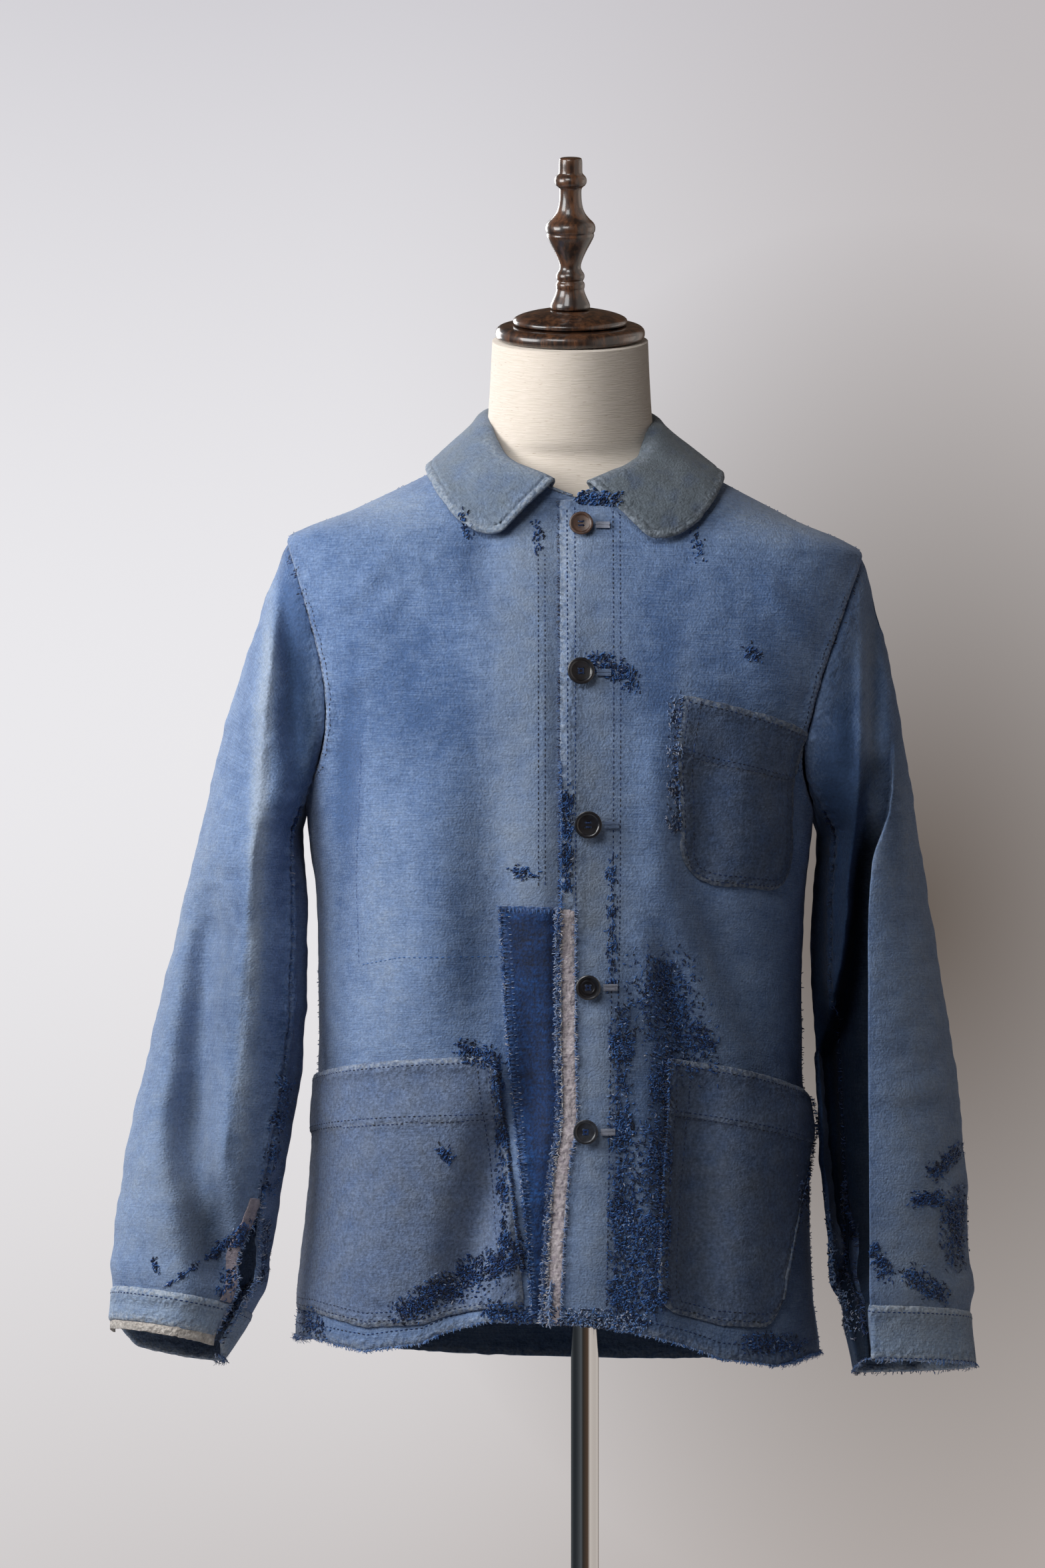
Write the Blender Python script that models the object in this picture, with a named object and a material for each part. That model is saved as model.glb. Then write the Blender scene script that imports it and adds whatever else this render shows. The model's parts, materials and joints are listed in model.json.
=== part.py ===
"""A patched blue work jacket, buttoned on a limbless dress form that stands on a pole and a round base.

Metres, +Z up. The origin is the centre of the base's underside, and the jacket's front faces -Y.
"Left" and "right" in names are the wearer's, so the left side is at +X.

The cloth pieces are closed walls. Body pieces are cut from one surface, body(turn, height): turn runs
round the chest, 0 at centre front, 0.25 at the left side, 0.5 at centre back and -0.25 at the right
side, and height is the level of the cloth before it dips to the back. A sleeve is cut from
sleeve(side, around, down): around is 0 at the outside, 0.25 at the front crease, 0.5 next to the body
and 0.75 at the back, and down is 0 at the armhole, 1 at the first level section and 2 at the hem.
"""

from math import atan2, cos, pi, radians, sin

import bmesh
import bpy
import numpy as np
from mathutils import Matrix, Vector

# Cloth and seams
CLOTH = 0.002
TRIM = 0.001
SEAM = 0.0003
LAYER_GAP = 0.0012
LAP_DEPTH = 0.0036

# The jacket's heights above the floor
HEM = 0.684
PIT = 1.080
SHOULDER = 1.2676
FRONT_NECK = 1.302
NECK = 1.341
BACK_DIP = 0.062
DIP_ENDS = 1.280
SIDE_SLOPE = 0.025

# The form, its pole and its base
LEAN = -0.008
NECK_TILT = 14.0
NECK_TOP = 1.430
FORM_BOTTOM = 0.725
POLE_RADIUS = 0.0108
BASE_RADIUS = 0.190
BASE_THICK = 0.012


def table(columns, *rows):
    """Rows of numbers as named columns; the first column is the one that is looked up."""
    return dict(zip(columns.split(), np.array(rows).T))


# Sections of the jacket's body: how far it reaches to each side, and how square its corners are
BODY = table(
    "height right left front back square",
    (0.684, 0.217, 0.190, 0.130, 0.128, 2.7),
    (0.735, 0.2110, 0.1845, 0.131, 0.128, 2.6),
    (0.785, 0.2050, 0.182, 0.132, 0.128, 2.6),
    (0.840, 0.2015, 0.184, 0.132, 0.127, 2.6),
    (0.880, 0.198, 0.178, 0.132, 0.126, 2.6),
    (0.960, 0.199, 0.177, 0.133, 0.126, 2.6),
    (1.010, 0.200, 0.179, 0.134, 0.127, 2.6),
    (1.050, 0.206, 0.183, 0.134, 0.128, 2.6),
    (1.100, 0.211, 0.187, 0.133, 0.129, 2.6),
    (1.150, 0.216, 0.205, 0.128, 0.130, 2.7),
    (1.200, 0.2195, 0.215, 0.116, 0.126, 2.9),
    (1.240, 0.2215, 0.220, 0.101, 0.115, 3.1),
    (1.2676, 0.223, 0.223, 0.089, 0.104, 3.2),
    (1.295, 0.169, 0.169, 0.080, 0.093, 2.8),
    (1.3226, 0.1145, 0.1145, 0.075, 0.083, 2.2),
    (1.341, 0.080, 0.079, 0.073, 0.077, 2.0),
    (1.360, 0.074, 0.073, 0.072, 0.073, 2.0),
)

# Where the left front's lapped edge runs, as a distance across from the centre line
LAP_EDGE = table(
    "height across",
    (0.684, -0.0225),
    (0.736, -0.020),
    (0.794, -0.016),
    (0.836, -0.010),
    (0.900, -0.011),
    (1.305, -0.0115),
)
LAP_LINES = (-0.050, -0.040, -0.030, -0.020, -0.010, 0.0, 0.026)

# Level sections of each sleeve: its outside, inside and front crease as distances across,
# its front and back as distances behind the centre line, and how its sections slope to the back
RIGHT_SLEEVE = table(
    "height outside inside crease front back slope",
    (0.653, 0.3560, 0.2680, 0.3050, -0.126, -0.040, 0.24),
    (0.688, 0.3520, 0.2450, 0.2950, -0.125, -0.020, 0.24),
    (0.7586, 0.3532, 0.2290, 0.2750, -0.122, 0.018, 0.21),
    (0.7987, 0.3456, 0.2215, 0.2640, -0.118, 0.036, 0.18),
    (0.8275, 0.3414, 0.2170, 0.2590, -0.114, 0.048, 0.15),
    (0.875, 0.3310, 0.2105, 0.2520, -0.106, 0.064, 0.10),
    (0.942, 0.3166, 0.2080, 0.2470, -0.096, 0.078, 0.05),
    (0.999, 0.3027, 0.2080, 0.2455, -0.090, 0.085, 0.02),
    (1.045, 0.2925, 0.2125, 0.2450, -0.088, 0.088, 0.00),
)
LEFT_SLEEVE = table(
    "height outside inside crease front back slope",
    (0.643, 0.3035, 0.2110, 0.2190, -0.126, -0.040, 0.24),
    (0.680, 0.2995, 0.2025, 0.2205, -0.125, -0.020, 0.24),
    (0.7117, 0.3016, 0.1980, 0.2205, -0.124, -0.004, 0.23),
    (0.750, 0.3021, 0.1925, 0.2205, -0.122, 0.016, 0.21),
    (0.800, 0.3000, 0.1885, 0.2205, -0.118, 0.036, 0.18),
    (0.8254, 0.2993, 0.1895, 0.2205, -0.114, 0.048, 0.15),
    (0.8744, 0.2940, 0.1860, 0.2205, -0.106, 0.064, 0.10),
    (0.953, 0.2818, 0.1830, 0.2210, -0.095, 0.080, 0.05),
    (0.999, 0.2756, 0.1850, 0.2230, -0.090, 0.085, 0.02),
    (1.045, 0.2668, 0.1890, 0.2320, -0.088, 0.088, 0.00),
)
SLEEVES = {-1: RIGHT_SLEEVE, 1: LEFT_SLEEVE}
CUFF_TOP = {-1: 0.688, 1: 0.680}
ARMHOLE_REACH = 0.085
SLEEVE_HEAD = 0.006
FRONT_SEAM, BACK_SEAM = 0.40, 0.80
SLEEVE_SEAM = 0.0021
VENT_TOP = 0.775
VENT_OPEN = 0.018

# Half of the collar: its roll line round the neck, and its outer edge on the shoulders
COLLAR = table(
    "roll_turn roll_height edge_across edge_height behind",
    (0.025, 1.312, 0.050, 1.2755, 0),
    (0.060, 1.3185, 0.069, 1.2775, 0),
    (0.100, 1.327, 0.0835, 1.286, 0),
    (0.140, 1.338, 0.0985, 1.299, 0),
    (0.180, 1.353, 0.1085, 1.315, 0),
    (0.220, 1.366, 0.1125, 1.3245, 0),
    (0.260, 1.374, 0.1135, 1.3215, 1),
    (0.310, 1.381, 0.108, 1.315, 1),
    (0.370, 1.384, 0.085, 1.311, 1),
    (0.430, 1.386, 0.046, 1.309, 1),
    (0.500, 1.386, 0.000, 1.308, 1),
)
COLLAR_CLOTH = 0.0025
COLLAR_ROLL = 0.008

# Pockets: corners across and high, inner edge first, and the radius of each lower corner
POCKETS = {
    "pocket_right": ((-0.0627, 0.880), (-0.230, 0.857), (-0.040, 0.690), (-0.230, 0.680), 0.004, 0.012),
    "pocket_left": ((0.0700, 0.878), (0.184, 0.841), (0.0630, 0.690), (0.160, 0.674), 0.012, 0.030),
    "pocket_chest": ((0.0793, 1.1507), (0.1734, 1.1245), (0.0795, 1.0100), (0.1635, 1.0020), 0.028, 0.024),
}

# The form's sections, from its foot to the top of its neck
FORM = table(
    "height half front back centre square tilt",
    (0.725, 0.136, -0.090, 0.098, 0.006, 2.2, 0.0),
    (0.731, 0.146, -0.099, 0.107, 0.006, 2.2, 0.0),
    (0.745, 0.152, -0.104, 0.111, 0.006, 2.2, 0.0),
    (0.810, 0.157, -0.108, 0.114, 0.004, 2.2, 0.0),
    (0.920, 0.132, -0.094, 0.092, 0.002, 2.2, 0.0),
    (1.050, 0.150, -0.113, 0.108, 0.000, 2.2, 0.0),
    (1.120, 0.159, -0.119, 0.114, 0.000, 2.3, 0.0),
    (1.180, 0.166, -0.109, 0.115, 0.000, 2.3, 0.0),
    (1.225, 0.178, -0.092, 0.104, 0.000, 2.2, 0.0),
    (1.255, 0.188, -0.078, 0.092, 0.000, 2.2, 0.0),
    (1.272, 0.187, -0.072, 0.086, 0.000, 2.2, 0.0),
    (1.283, 0.1805, -0.070, 0.082, 0.000, 2.1, 0.0),
    (1.2915, 0.169, -0.066, 0.080, 0.000, 2.1, 0.0),
    (1.3190, 0.1130, -0.058, 0.071, 0.000, 2.0, 0.0),
    (1.335, 0.0795, -0.057, 0.066, 0.000, 2.0, 0.0),
    (1.348, 0.0665, -0.062, 0.062, -0.003, 2.0, 3.0),
    (1.370, 0.0640, -0.066, 0.058, -0.0036, 2.0, 8.0),
    (1.400, 0.0620, -0.071, 0.053, -0.0036, 2.0, 12.0),
    (NECK_TOP, 0.0605, -0.0765, 0.0465, -0.0036, 2.0, NECK_TILT),
)

# Turned profiles: height along the axis and radius, in millimetres
FINIAL = (
    (0, 0), (0, 14.5), (1.5, 15.5), (4, 15.3), (8, 13.4), (12, 11.6), (15.5, 10.6), (17, 11.2), (20, 11.3),
    (22, 9.6), (24, 11.0), (27, 11.1), (30, 9.0), (32.5, 8.0), (37, 8.8), (45, 12.3), (52, 16.2),
    (57, 18.6), (58.8, 17.9), (60.5, 19.2), (64, 19.4), (67, 18.0), (70, 14.6), (75, 10.6), (82, 8.7),
    (91, 8.3), (94, 8.8), (95.5, 11.4), (98.5, 12.7), (102, 12.0), (104.5, 9.4), (106, 9.0), (115.5, 9.0),
    (117, 7.6), (117, 0),
)
CAP_LOWER = ((0, 0), (0, 54.5), (1.5, 57.4), (4.5, 58.3), (8, 57.6), (10.5, 54.5), (11.5, 49), (11.5, 0))
CAP_UPPER = ((0, 0), (0, 43.6), (2.5, 44.7), (5, 43.4), (8, 36), (11, 22), (11.5, 18), (11.5, 0))
HUB = ((0, 11.2), (0, 34), (4, 33), (9, 24), (22, 19), (48, 17), (52, 15.5), (52, 11.2))
SOCKET = ((0, 11.2), (0, 15), (2, 17), (26, 17), (27, 19), (29.5, 19), (29.5, 11.2))

# Buttons down the left front: across, height and diameter
BUTTONS = (
    (0.0039, 1.2813, 0.0183),
    (0.0030, 1.1676, 0.0206),
    (0.0085, 1.0544, 0.0206),
    (0.0085, 0.9327, 0.0188),
    (0.0066, 0.8245, 0.0186),
)
BUTTON_LIFT = 0.0005

# How finely the faceted pieces are divided
BODY_ROWS, ARMHOLE_ROWS, SHOULDER_ROWS = 9, 11, 6
FRONT_COLUMNS, BACK_COLUMNS = 18, 23
AROUND_TURNED = 20


for thing in list(bpy.data.objects):
    bpy.data.objects.remove(thing, do_unlink=True)


def smooth(sections, column, where):
    """A column read between its rows by a curve that never overshoots them."""
    knots, values = sections["height"], sections[column]
    step = np.diff(knots)
    slope = np.diff(values) / step
    bend = np.zeros(len(knots))
    bend[0], bend[-1] = slope[0], slope[-1]
    same = slope[:-1] * slope[1:] > 0
    bend[1:-1][same] = (2 * slope[:-1] * slope[1:])[same] / (slope[:-1] + slope[1:])[same]
    where = np.clip(where, knots[0], knots[-1])
    i = np.clip(np.searchsorted(knots, where) - 1, 0, len(step) - 1)
    t = (where - knots[i]) / step[i]
    start = (1 + 2 * t) * (1 - t) ** 2 * values[i] + t * (1 - t) ** 2 * step[i] * bend[i]
    return start + t**2 * (3 - 2 * t) * values[i + 1] + t**2 * (t - 1) * step[i] * bend[i + 1]


def power(value, exponent):
    return np.sign(value) * np.abs(value) ** exponent


# How much lower the fronts' hem hangs beside its middle, by the turn round the body
HEM_DROP = table(
    "turn drop",
    (-0.300, 0.000),
    (-0.250, 0.002),
    (-0.176, 0.010),
    (-0.115, 0.024),
    (-0.072, 0.020),
    (-0.057, 0.012),
    (-0.034, 0.004),
    (0.000, 0.005),
    (0.020, 0.009),
    (0.054, 0.018),
    (0.080, 0.026),
    (0.134, 0.026),
    (0.190, 0.012),
    (0.250, 0.004),
    (0.300, 0.000),
)
DROP_REACH = 0.160


def dip(turn, height):
    """How far the cloth hangs below its level, more towards the back and the hem."""
    grow = np.clip((DIP_ENDS - height) / (DIP_ENDS - HEM), 0, 1)
    near_hem = np.clip(1 - (height - HEM) / DROP_REACH, 0, 1) ** 2
    drop = np.interp((np.asarray(turn) + 0.5) % 1 - 0.5, HEM_DROP["turn"], HEM_DROP["drop"])
    return BACK_DIP * grow * (1 - np.cos(2 * pi * turn)) / 2 + near_hem * drop


def body(turn, height):
    turn, height = np.broadcast_arrays(turn, height)
    bow = 2 / smooth(BODY, "square", height)
    side = power(np.sin(2 * pi * turn), bow)
    ahead = power(np.cos(2 * pi * turn), bow)
    x = side * np.where(side > 0, smooth(BODY, "left", height), smooth(BODY, "right", height))
    y = -ahead * np.where(ahead > 0, smooth(BODY, "front", height), smooth(BODY, "back", height))
    return np.stack([x + LEAN, y, height - dip(turn, height) - SIDE_SLOPE * x], -1)


def unit(vectors):
    return vectors / np.maximum(np.linalg.norm(vectors, axis=-1, keepdims=True), 1e-9)


def body_out(turn, height):
    """Unit vectors straight out of the body's surface."""
    round_it = body(turn + 0.003, height) - body(turn - 0.003, height)
    up_it = body(turn, height + 0.003) - body(turn, height - 0.003)
    return unit(np.cross(round_it, up_it))


def moved(turn, height, out):
    """Points of the body's surface moved straight out by a distance."""
    return body(turn, height) + body_out(turn, height) * np.asarray(out)[..., None]


def locate(across, high):
    """Turn and height of the front's point that is seen this far across and this high."""
    height = np.array(high, float)
    for _ in range(4):
        reach = smooth(BODY, "left" if across > 0 else "right", height)
        ratio = min(abs(across) / reach, 0.9995)
        turn = np.sign(across) * np.arcsin(ratio ** (smooth(BODY, "square", height) / 2)) / (2 * pi)
        height = high + dip(turn, height) + SIDE_SLOPE * across
    return float(turn), float(height)


def lap_turn(height, extra=0.0):
    """Turn of the left front's lapped edge, or of a line a little across from it."""
    across = smooth(LAP_EDGE, "across", height) + extra
    reach = np.where(across > 0, smooth(BODY, "left", height), smooth(BODY, "right", height))
    ratio = np.abs(across) / reach
    return np.sign(across) * np.arcsin(ratio ** (smooth(BODY, "square", height) / 2)) / (2 * pi)


def tuck(turn, height):
    """How far the right front lies under the left one near the lapped edge."""
    before = (body(turn, height)[..., 0] - LEAN - smooth(LAP_EDGE, "across", height) + 0.030) / 0.020
    before = np.clip(before, 0, 1)
    return LAP_DEPTH * before**2 * (3 - 2 * before)


def armhole_reach(height):
    """How far the armhole cuts into the front and the back from the side, as a turn."""
    middle, half = (SHOULDER + PIT) / 2, (SHOULDER - PIT) / 2
    level = np.clip((height - middle) / half, -1, 1)
    reach = ARMHOLE_REACH * np.sqrt(1 - level**2) * (1 - 0.25 * level)
    return np.where(height < PIT, 0, reach)


def armhole(side, around):
    """Turn and height of the armhole's edge: 0 at the shoulder, 0.25 in front, 0.5 at the pit."""
    level = np.cos(2 * pi * around)
    reach = ARMHOLE_REACH * np.sin(2 * pi * around) * (1 - 0.25 * level)
    return side * (0.25 - reach), (SHOULDER + PIT) / 2 + level * (SHOULDER - PIT) / 2


def neck_turn(height):
    """Turn at which the front neckline crosses a height."""
    return 0.2 * np.clip((height - FRONT_NECK) / (NECK - FRONT_NECK), 0, 1) ** 1.667


def material(name, colour, rough, metal=0.0):
    made = bpy.data.materials.new(name)
    made.use_nodes = True
    shader = made.node_tree.nodes["Principled BSDF"]
    shader.inputs["Base Color"].default_value = (*colour, 1)
    shader.inputs["Roughness"].default_value = rough
    shader.inputs["Metallic"].default_value = metal
    return made


MOLESKIN = material("blue moleskin", (0.13, 0.21, 0.38), 0.95)
NEW_CLOTH = material("dark blue patch cloth", (0.05, 0.11, 0.30), 0.95)
PALE_TAPE = material("faded tape", (0.42, 0.36, 0.38), 0.95)
TWILL = material("off-white twill", (0.62, 0.58, 0.55), 0.95)
LINEN = material("ecru linen", (0.72, 0.63, 0.52), 0.9)
DARK_WOOD = material("dark lacquered wood", (0.05, 0.025, 0.012), 0.25)
CHROME = material("chromed steel", (0.7, 0.7, 0.7), 0.1, 1.0)
IRON = material("black enamelled iron", (0.03, 0.03, 0.03), 0.4)
HORN = material("dark button resin", (0.03, 0.025, 0.02), 0.3)


def keep(name, mesh, finish):
    """Puts a finished mesh in the scene under its name."""
    mesh.name = name
    mesh.materials.clear()
    mesh.materials.append(finish)
    made = bpy.data.objects.new(name, mesh)
    bpy.context.scene.collection.objects.link(made)
    return made


def from_bmesh(shape):
    bmesh.ops.recalc_face_normals(shape, faces=shape.faces)
    mesh = bpy.data.meshes.new("mesh")
    shape.to_mesh(mesh)
    shape.free()
    return mesh


def wall(name, face, outward, finish, thick=CLOTH):
    """A closed wall of cloth between a grid of points and the same grid moved in by its thickness."""
    rows, columns = face.shape[:2]
    inner = face - outward * thick
    shape = bmesh.new()
    front = [[shape.verts.new(p) for p in row] for row in face]
    back = [[shape.verts.new(p) for p in row] for row in inner]
    for r in range(rows - 1):
        for c in range(columns - 1):
            shape.faces.new((front[r][c], front[r][c + 1], front[r + 1][c + 1], front[r + 1][c]))
            shape.faces.new((back[r][c], back[r + 1][c], back[r + 1][c + 1], back[r][c + 1]))
    for c in range(columns - 1):
        shape.faces.new((front[0][c], back[0][c], back[0][c + 1], front[0][c + 1]))
        shape.faces.new((front[-1][c + 1], back[-1][c + 1], back[-1][c], front[-1][c]))
    for r in range(rows - 1):
        shape.faces.new((front[r + 1][0], back[r + 1][0], back[r][0], front[r][0]))
        shape.faces.new((front[r][-1], back[r][-1], back[r + 1][-1], front[r + 1][-1]))
    return keep(name, from_bmesh(shape), finish)


def spread(start, end, count):
    """A grid of evenly spaced values from a column of starts to a column of ends."""
    step = np.linspace(0, 1, count)
    return np.asarray(start)[:, None] * (1 - step) + np.asarray(end)[:, None] * step


def body_heights(top):
    """Levels of a body panel's rows: even to the pit, crowded at the armhole's ends, then the shoulder."""
    middle, half = (SHOULDER + PIT) / 2, (SHOULDER - PIT) / 2
    low = np.linspace(HEM, PIT, BODY_ROWS)
    arm = middle - half * np.cos(np.linspace(0, pi, ARMHOLE_ROWS))
    high = np.linspace(SHOULDER, top, SHOULDER_ROWS)
    return np.concatenate([low, arm[1:], high[1:]])


def side_edge(height, sign=-1):
    """Turn of a panel's edge at the side seam, the armhole and the shoulder seam."""
    return 0.25 + sign * (armhole_reach(height) + SEAM)


def make_body():
    heights = body_heights(NECK - 0.003)
    grid_height = np.repeat(heights[:, None], FRONT_COLUMNS, 1)
    turns = spread(-side_edge(heights), lap_turn(heights, LAP_LINES[0]), FRONT_COLUMNS - len(LAP_LINES) + 1)
    lines = [lap_turn(heights, line) for line in LAP_LINES[1:]]
    turns = np.concatenate([turns, np.stack(lines, 1)], 1)
    past = heights > FRONT_NECK
    turns[past] = spread(-side_edge(heights[past]), -neck_turn(heights[past]), FRONT_COLUMNS)
    face = moved(turns, grid_height, -tuck(turns, grid_height))
    wall("front_right", face, body_out(turns, grid_height), MOLESKIN)
    inner = np.where(heights > FRONT_NECK, neck_turn(heights), lap_turn(heights))
    turns = spread(inner, side_edge(heights), FRONT_COLUMNS)
    wall("front_left", body(turns, grid_height), body_out(turns, grid_height), MOLESKIN)
    turns = spread(side_edge(heights, 1), 1 - side_edge(heights, 1), BACK_COLUMNS)
    grid_height = np.repeat(heights[:, None], BACK_COLUMNS, 1)
    wall("back", body(turns, grid_height), body_out(turns, grid_height), MOLESKIN)


def lay_on_front(name, corners, rows, columns, finish, thick, radii=(0, 0), under=False):
    """A flat piece sewn on a front, from its corners, with its two lower corners rounded."""
    top_in, top_out, low_in, low_out = (locate(*corner) for corner in corners)
    width = abs(corners[2][0] - corners[3][0])
    share = np.linspace(0, 1, columns)
    lift = np.zeros(columns)
    for radius, distance in zip(radii, (share * width, (1 - share) * width)):
        inside = np.clip(radius - distance, 0, radius) / max(radius, 1e-9)
        lift += radius * (1 - np.sqrt(1 - inside**2))
    turns, heights = np.zeros((rows, columns)), np.zeros((rows, columns))
    for r, down in enumerate(np.linspace(1, 0, rows)):
        turns[r] = (top_in[0] * (1 - share) + top_out[0] * share) * (1 - down)
        turns[r] += (low_in[0] * (1 - share) + low_out[0] * share) * down
        top = top_in[1] * (1 - share) + top_out[1] * share
        low = low_in[1] * (1 - share) + low_out[1] * share + lift
        heights[r] = top * (1 - down) + low * down
    out = LAYER_GAP + thick - (tuck(turns, heights) if under else 0)
    wall(name, moved(turns, heights, out + 0 * turns), body_out(turns, heights), finish, thick)


def make_pockets():
    for name, (top_in, top_out, low_in, low_out, radius_in, radius_out) in POCKETS.items():
        corners = (top_in, top_out, low_in, low_out)
        columns = 15 if name == "pocket_right" else 12
        lay_on_front(name, corners, 7, columns, MOLESKIN, CLOTH, (radius_in, radius_out))


def make_patches():
    """The dark patch beside the lap, and the worn tape that binds the lap's edge."""
    heights = np.linspace(0.695, 0.992, 8)
    outer = np.interp(heights, (0.695, 0.745, 0.870, 0.992), (-0.0325, -0.037, -0.050, -0.0575))
    outer = np.array([locate(across, high)[0] for across, high in zip(outer, heights)])
    turns = spread(outer, lap_turn(heights, -0.001), 6)
    grid_height = np.repeat(heights[:, None], 6, 1)
    out = 0.0011 + TRIM - tuck(turns, grid_height)
    wall("patch_front", moved(turns, grid_height, out), body_out(turns, grid_height), NEW_CLOTH, TRIM)
    heights = np.linspace(HEM + 0.001, 0.990, 9)
    turns = spread(lap_turn(heights, 0.0002), lap_turn(heights, 0.0072), 2)
    grid_height = np.repeat(heights[:, None], 2, 1)
    out = np.full(turns.shape, 0.0004 + TRIM)
    wall("placket_binding", moved(turns, grid_height, out), body_out(turns, grid_height), PALE_TAPE, TRIM)


def section(side, around, height):
    """A sleeve's own level section, with soft creases in front and behind."""
    size = {name: smooth(SLEEVES[side], name, height) for name in SLEEVES[side] if name != "height"}
    across, along = np.cos(2 * pi * around), np.sin(2 * pi * around)
    reach = np.where(across > 0, size["outside"] - size["crease"], size["crease"] - size["inside"])
    middle, half = (size["front"] + size["back"]) / 2, (size["back"] - size["front"]) / 2
    x = size["crease"] + power(across, 1.3) * reach
    y = middle - half * along
    return np.stack([side * x + LEAN, y, height + size["slope"] * half * along], -1)


def sleeve(side, around, down):
    around, down = np.broadcast_arrays(around, down)
    sections = SLEEVES[side]["height"]
    first, last = sections[-1], sections[0]
    height = first + (last - first) * np.clip(down - 1, 0, 1)
    joined = np.clip(down, 0, 1)[..., None]
    beside = (1 - np.cos(2 * pi * around)) / 2
    start = moved(*armhole(side, around), 0.0016 + 0.0018 * beside**2)
    start[..., 0] += side * 0.0008
    end = section(side, around, height)
    head = np.zeros(start.shape)
    head[..., 0] = side * SLEEVE_HEAD * np.clip(np.cos(2 * pi * around), 0, 1)
    return start * (1 - joined) + end * joined + head * 4 * joined * (1 - joined)


def sleeve_out(side, around, down):
    """Unit vectors out of a sleeve; at the armhole they are the body's own, so the walls meet."""
    round_it = sleeve(side, around + 0.004, down) - sleeve(side, around - 0.004, down)
    ahead, behind = np.minimum(down + 0.02, 2.0), np.maximum(down - 0.02, 0.0)
    down_it = sleeve(side, around, ahead) - sleeve(side, around, behind)
    own = unit(side * np.cross(round_it, down_it))
    start = body_out(*armhole(side, around))
    share = np.clip(1 - down / 0.25, 0, 1)[..., None]
    return unit(own * (1 - share) + start * share)


def down_of(side, height):
    """How far down a sleeve a height lies."""
    first, last = SLEEVES[side]["height"][-1], SLEEVES[side]["height"][0]
    return 1 + (first - height) / (first - last)


def vent(height):
    """Half the opening of the sleeve's vent at a height, as a share of the way round."""
    return SLEEVE_SEAM + VENT_OPEN * np.clip((VENT_TOP - height) / 0.085, 0, 1) ** 0.7


def make_sleeve(side):
    word = "right" if side < 0 else "left"
    cuff_down = down_of(side, CUFF_TOP[side] + SEAM)
    downs = np.concatenate([np.linspace(0, 1, 7), np.linspace(1, cuff_down, 10)[1:]])
    first, last = SLEEVES[side]["height"][-1], SLEEVES[side]["height"][0]
    opening = vent(first + (last - first) * np.clip(downs - 1, 0, 1))
    for name, start, end, columns in (
        (f"sleeve_{word}_top", BACK_SEAM - 1 + SLEEVE_SEAM + 0 * downs, FRONT_SEAM - opening, 13),
        (f"sleeve_{word}_under", FRONT_SEAM + opening, BACK_SEAM - SLEEVE_SEAM + 0 * downs, 9),
    ):
        around = spread(start, end, columns)
        down = np.repeat(downs[:, None], columns, 1)
        wall(name, sleeve(side, around, down), sleeve_out(side, around, down), MOLESKIN)
    downs = np.linspace(down_of(side, CUFF_TOP[side]), 2, 3)
    around = spread(FRONT_SEAM + VENT_OPEN + 0 * downs, 1 + FRONT_SEAM - VENT_OPEN + 0 * downs, 25)
    down = np.repeat(downs[:, None], 25, 1)
    out = sleeve_out(side, around, down)
    wall(f"cuff_{word}", sleeve(side, around, down) + out * 0.0008, out, MOLESKIN, 0.0028)


def make_sleeve_trims():
    """The faded strip along the right sleeve's vent, and the twill that shows below its cuff."""
    heights = np.linspace(0.762, CUFF_TOP[-1] + 0.002, 5)
    downs = down_of(-1, heights)
    end = FRONT_SEAM - vent(heights)
    around = spread(end - 0.030, end, 3)
    down = np.repeat(downs[:, None], 3, 1)
    out = sleeve_out(-1, around, down)
    wall("vent_facing_right", sleeve(-1, around, down) + out * 0.0015, out, PALE_TAPE, TRIM)
    downs = np.linspace(down_of(-1, 0.672), 2, 3)
    around = spread(-0.04 + 0 * downs, FRONT_SEAM - VENT_OPEN + 0 * downs, 15)
    down = np.repeat(downs[:, None], 15, 1)
    out = sleeve_out(-1, around, down)
    face = sleeve(-1, around, down) - out * 0.0036
    face[..., 2] -= 0.005 * np.linspace(0, 1, 3)[:, None]
    wall("cuff_lining_right", face, out, TWILL, TRIM)


def neck_ring(turn, height):
    """A level ring just outside the form's neck, on which the collar stands."""
    bow = np.where(np.cos(2 * pi * turn) > 0, 2 / 2.6, 1.0)
    side, ahead = power(np.sin(2 * pi * turn), bow), power(np.cos(2 * pi * turn), bow)
    x = side * 0.0705 - 0.0036
    y = np.where(ahead > 0, -ahead * 0.0810, -ahead * 0.0700)
    return np.stack([x + LEAN, y, height - SIDE_SLOPE * x + 0 * turn], -1)


def roll_height(turn):
    away = np.abs((turn + 0.5) % 1 - 0.5)
    return np.interp(away, COLLAR["roll_turn"], COLLAR["roll_height"])


def collar_edge():
    """Turns and heights of half the collar's outer edge on the body's surface."""
    turns, heights = [], []
    for across, high, behind in zip(COLLAR["edge_across"], COLLAR["edge_height"], COLLAR["behind"]):
        turn, height = locate(across, high)
        turns.append(0.5 - turn if behind else turn)
        heights.append(high)
    return np.array(turns), np.array(heights)


def grid_out(grid):
    """Unit vectors square to a grid of points."""
    return unit(np.cross(np.gradient(grid, axis=1), np.gradient(grid, axis=0)))


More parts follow.
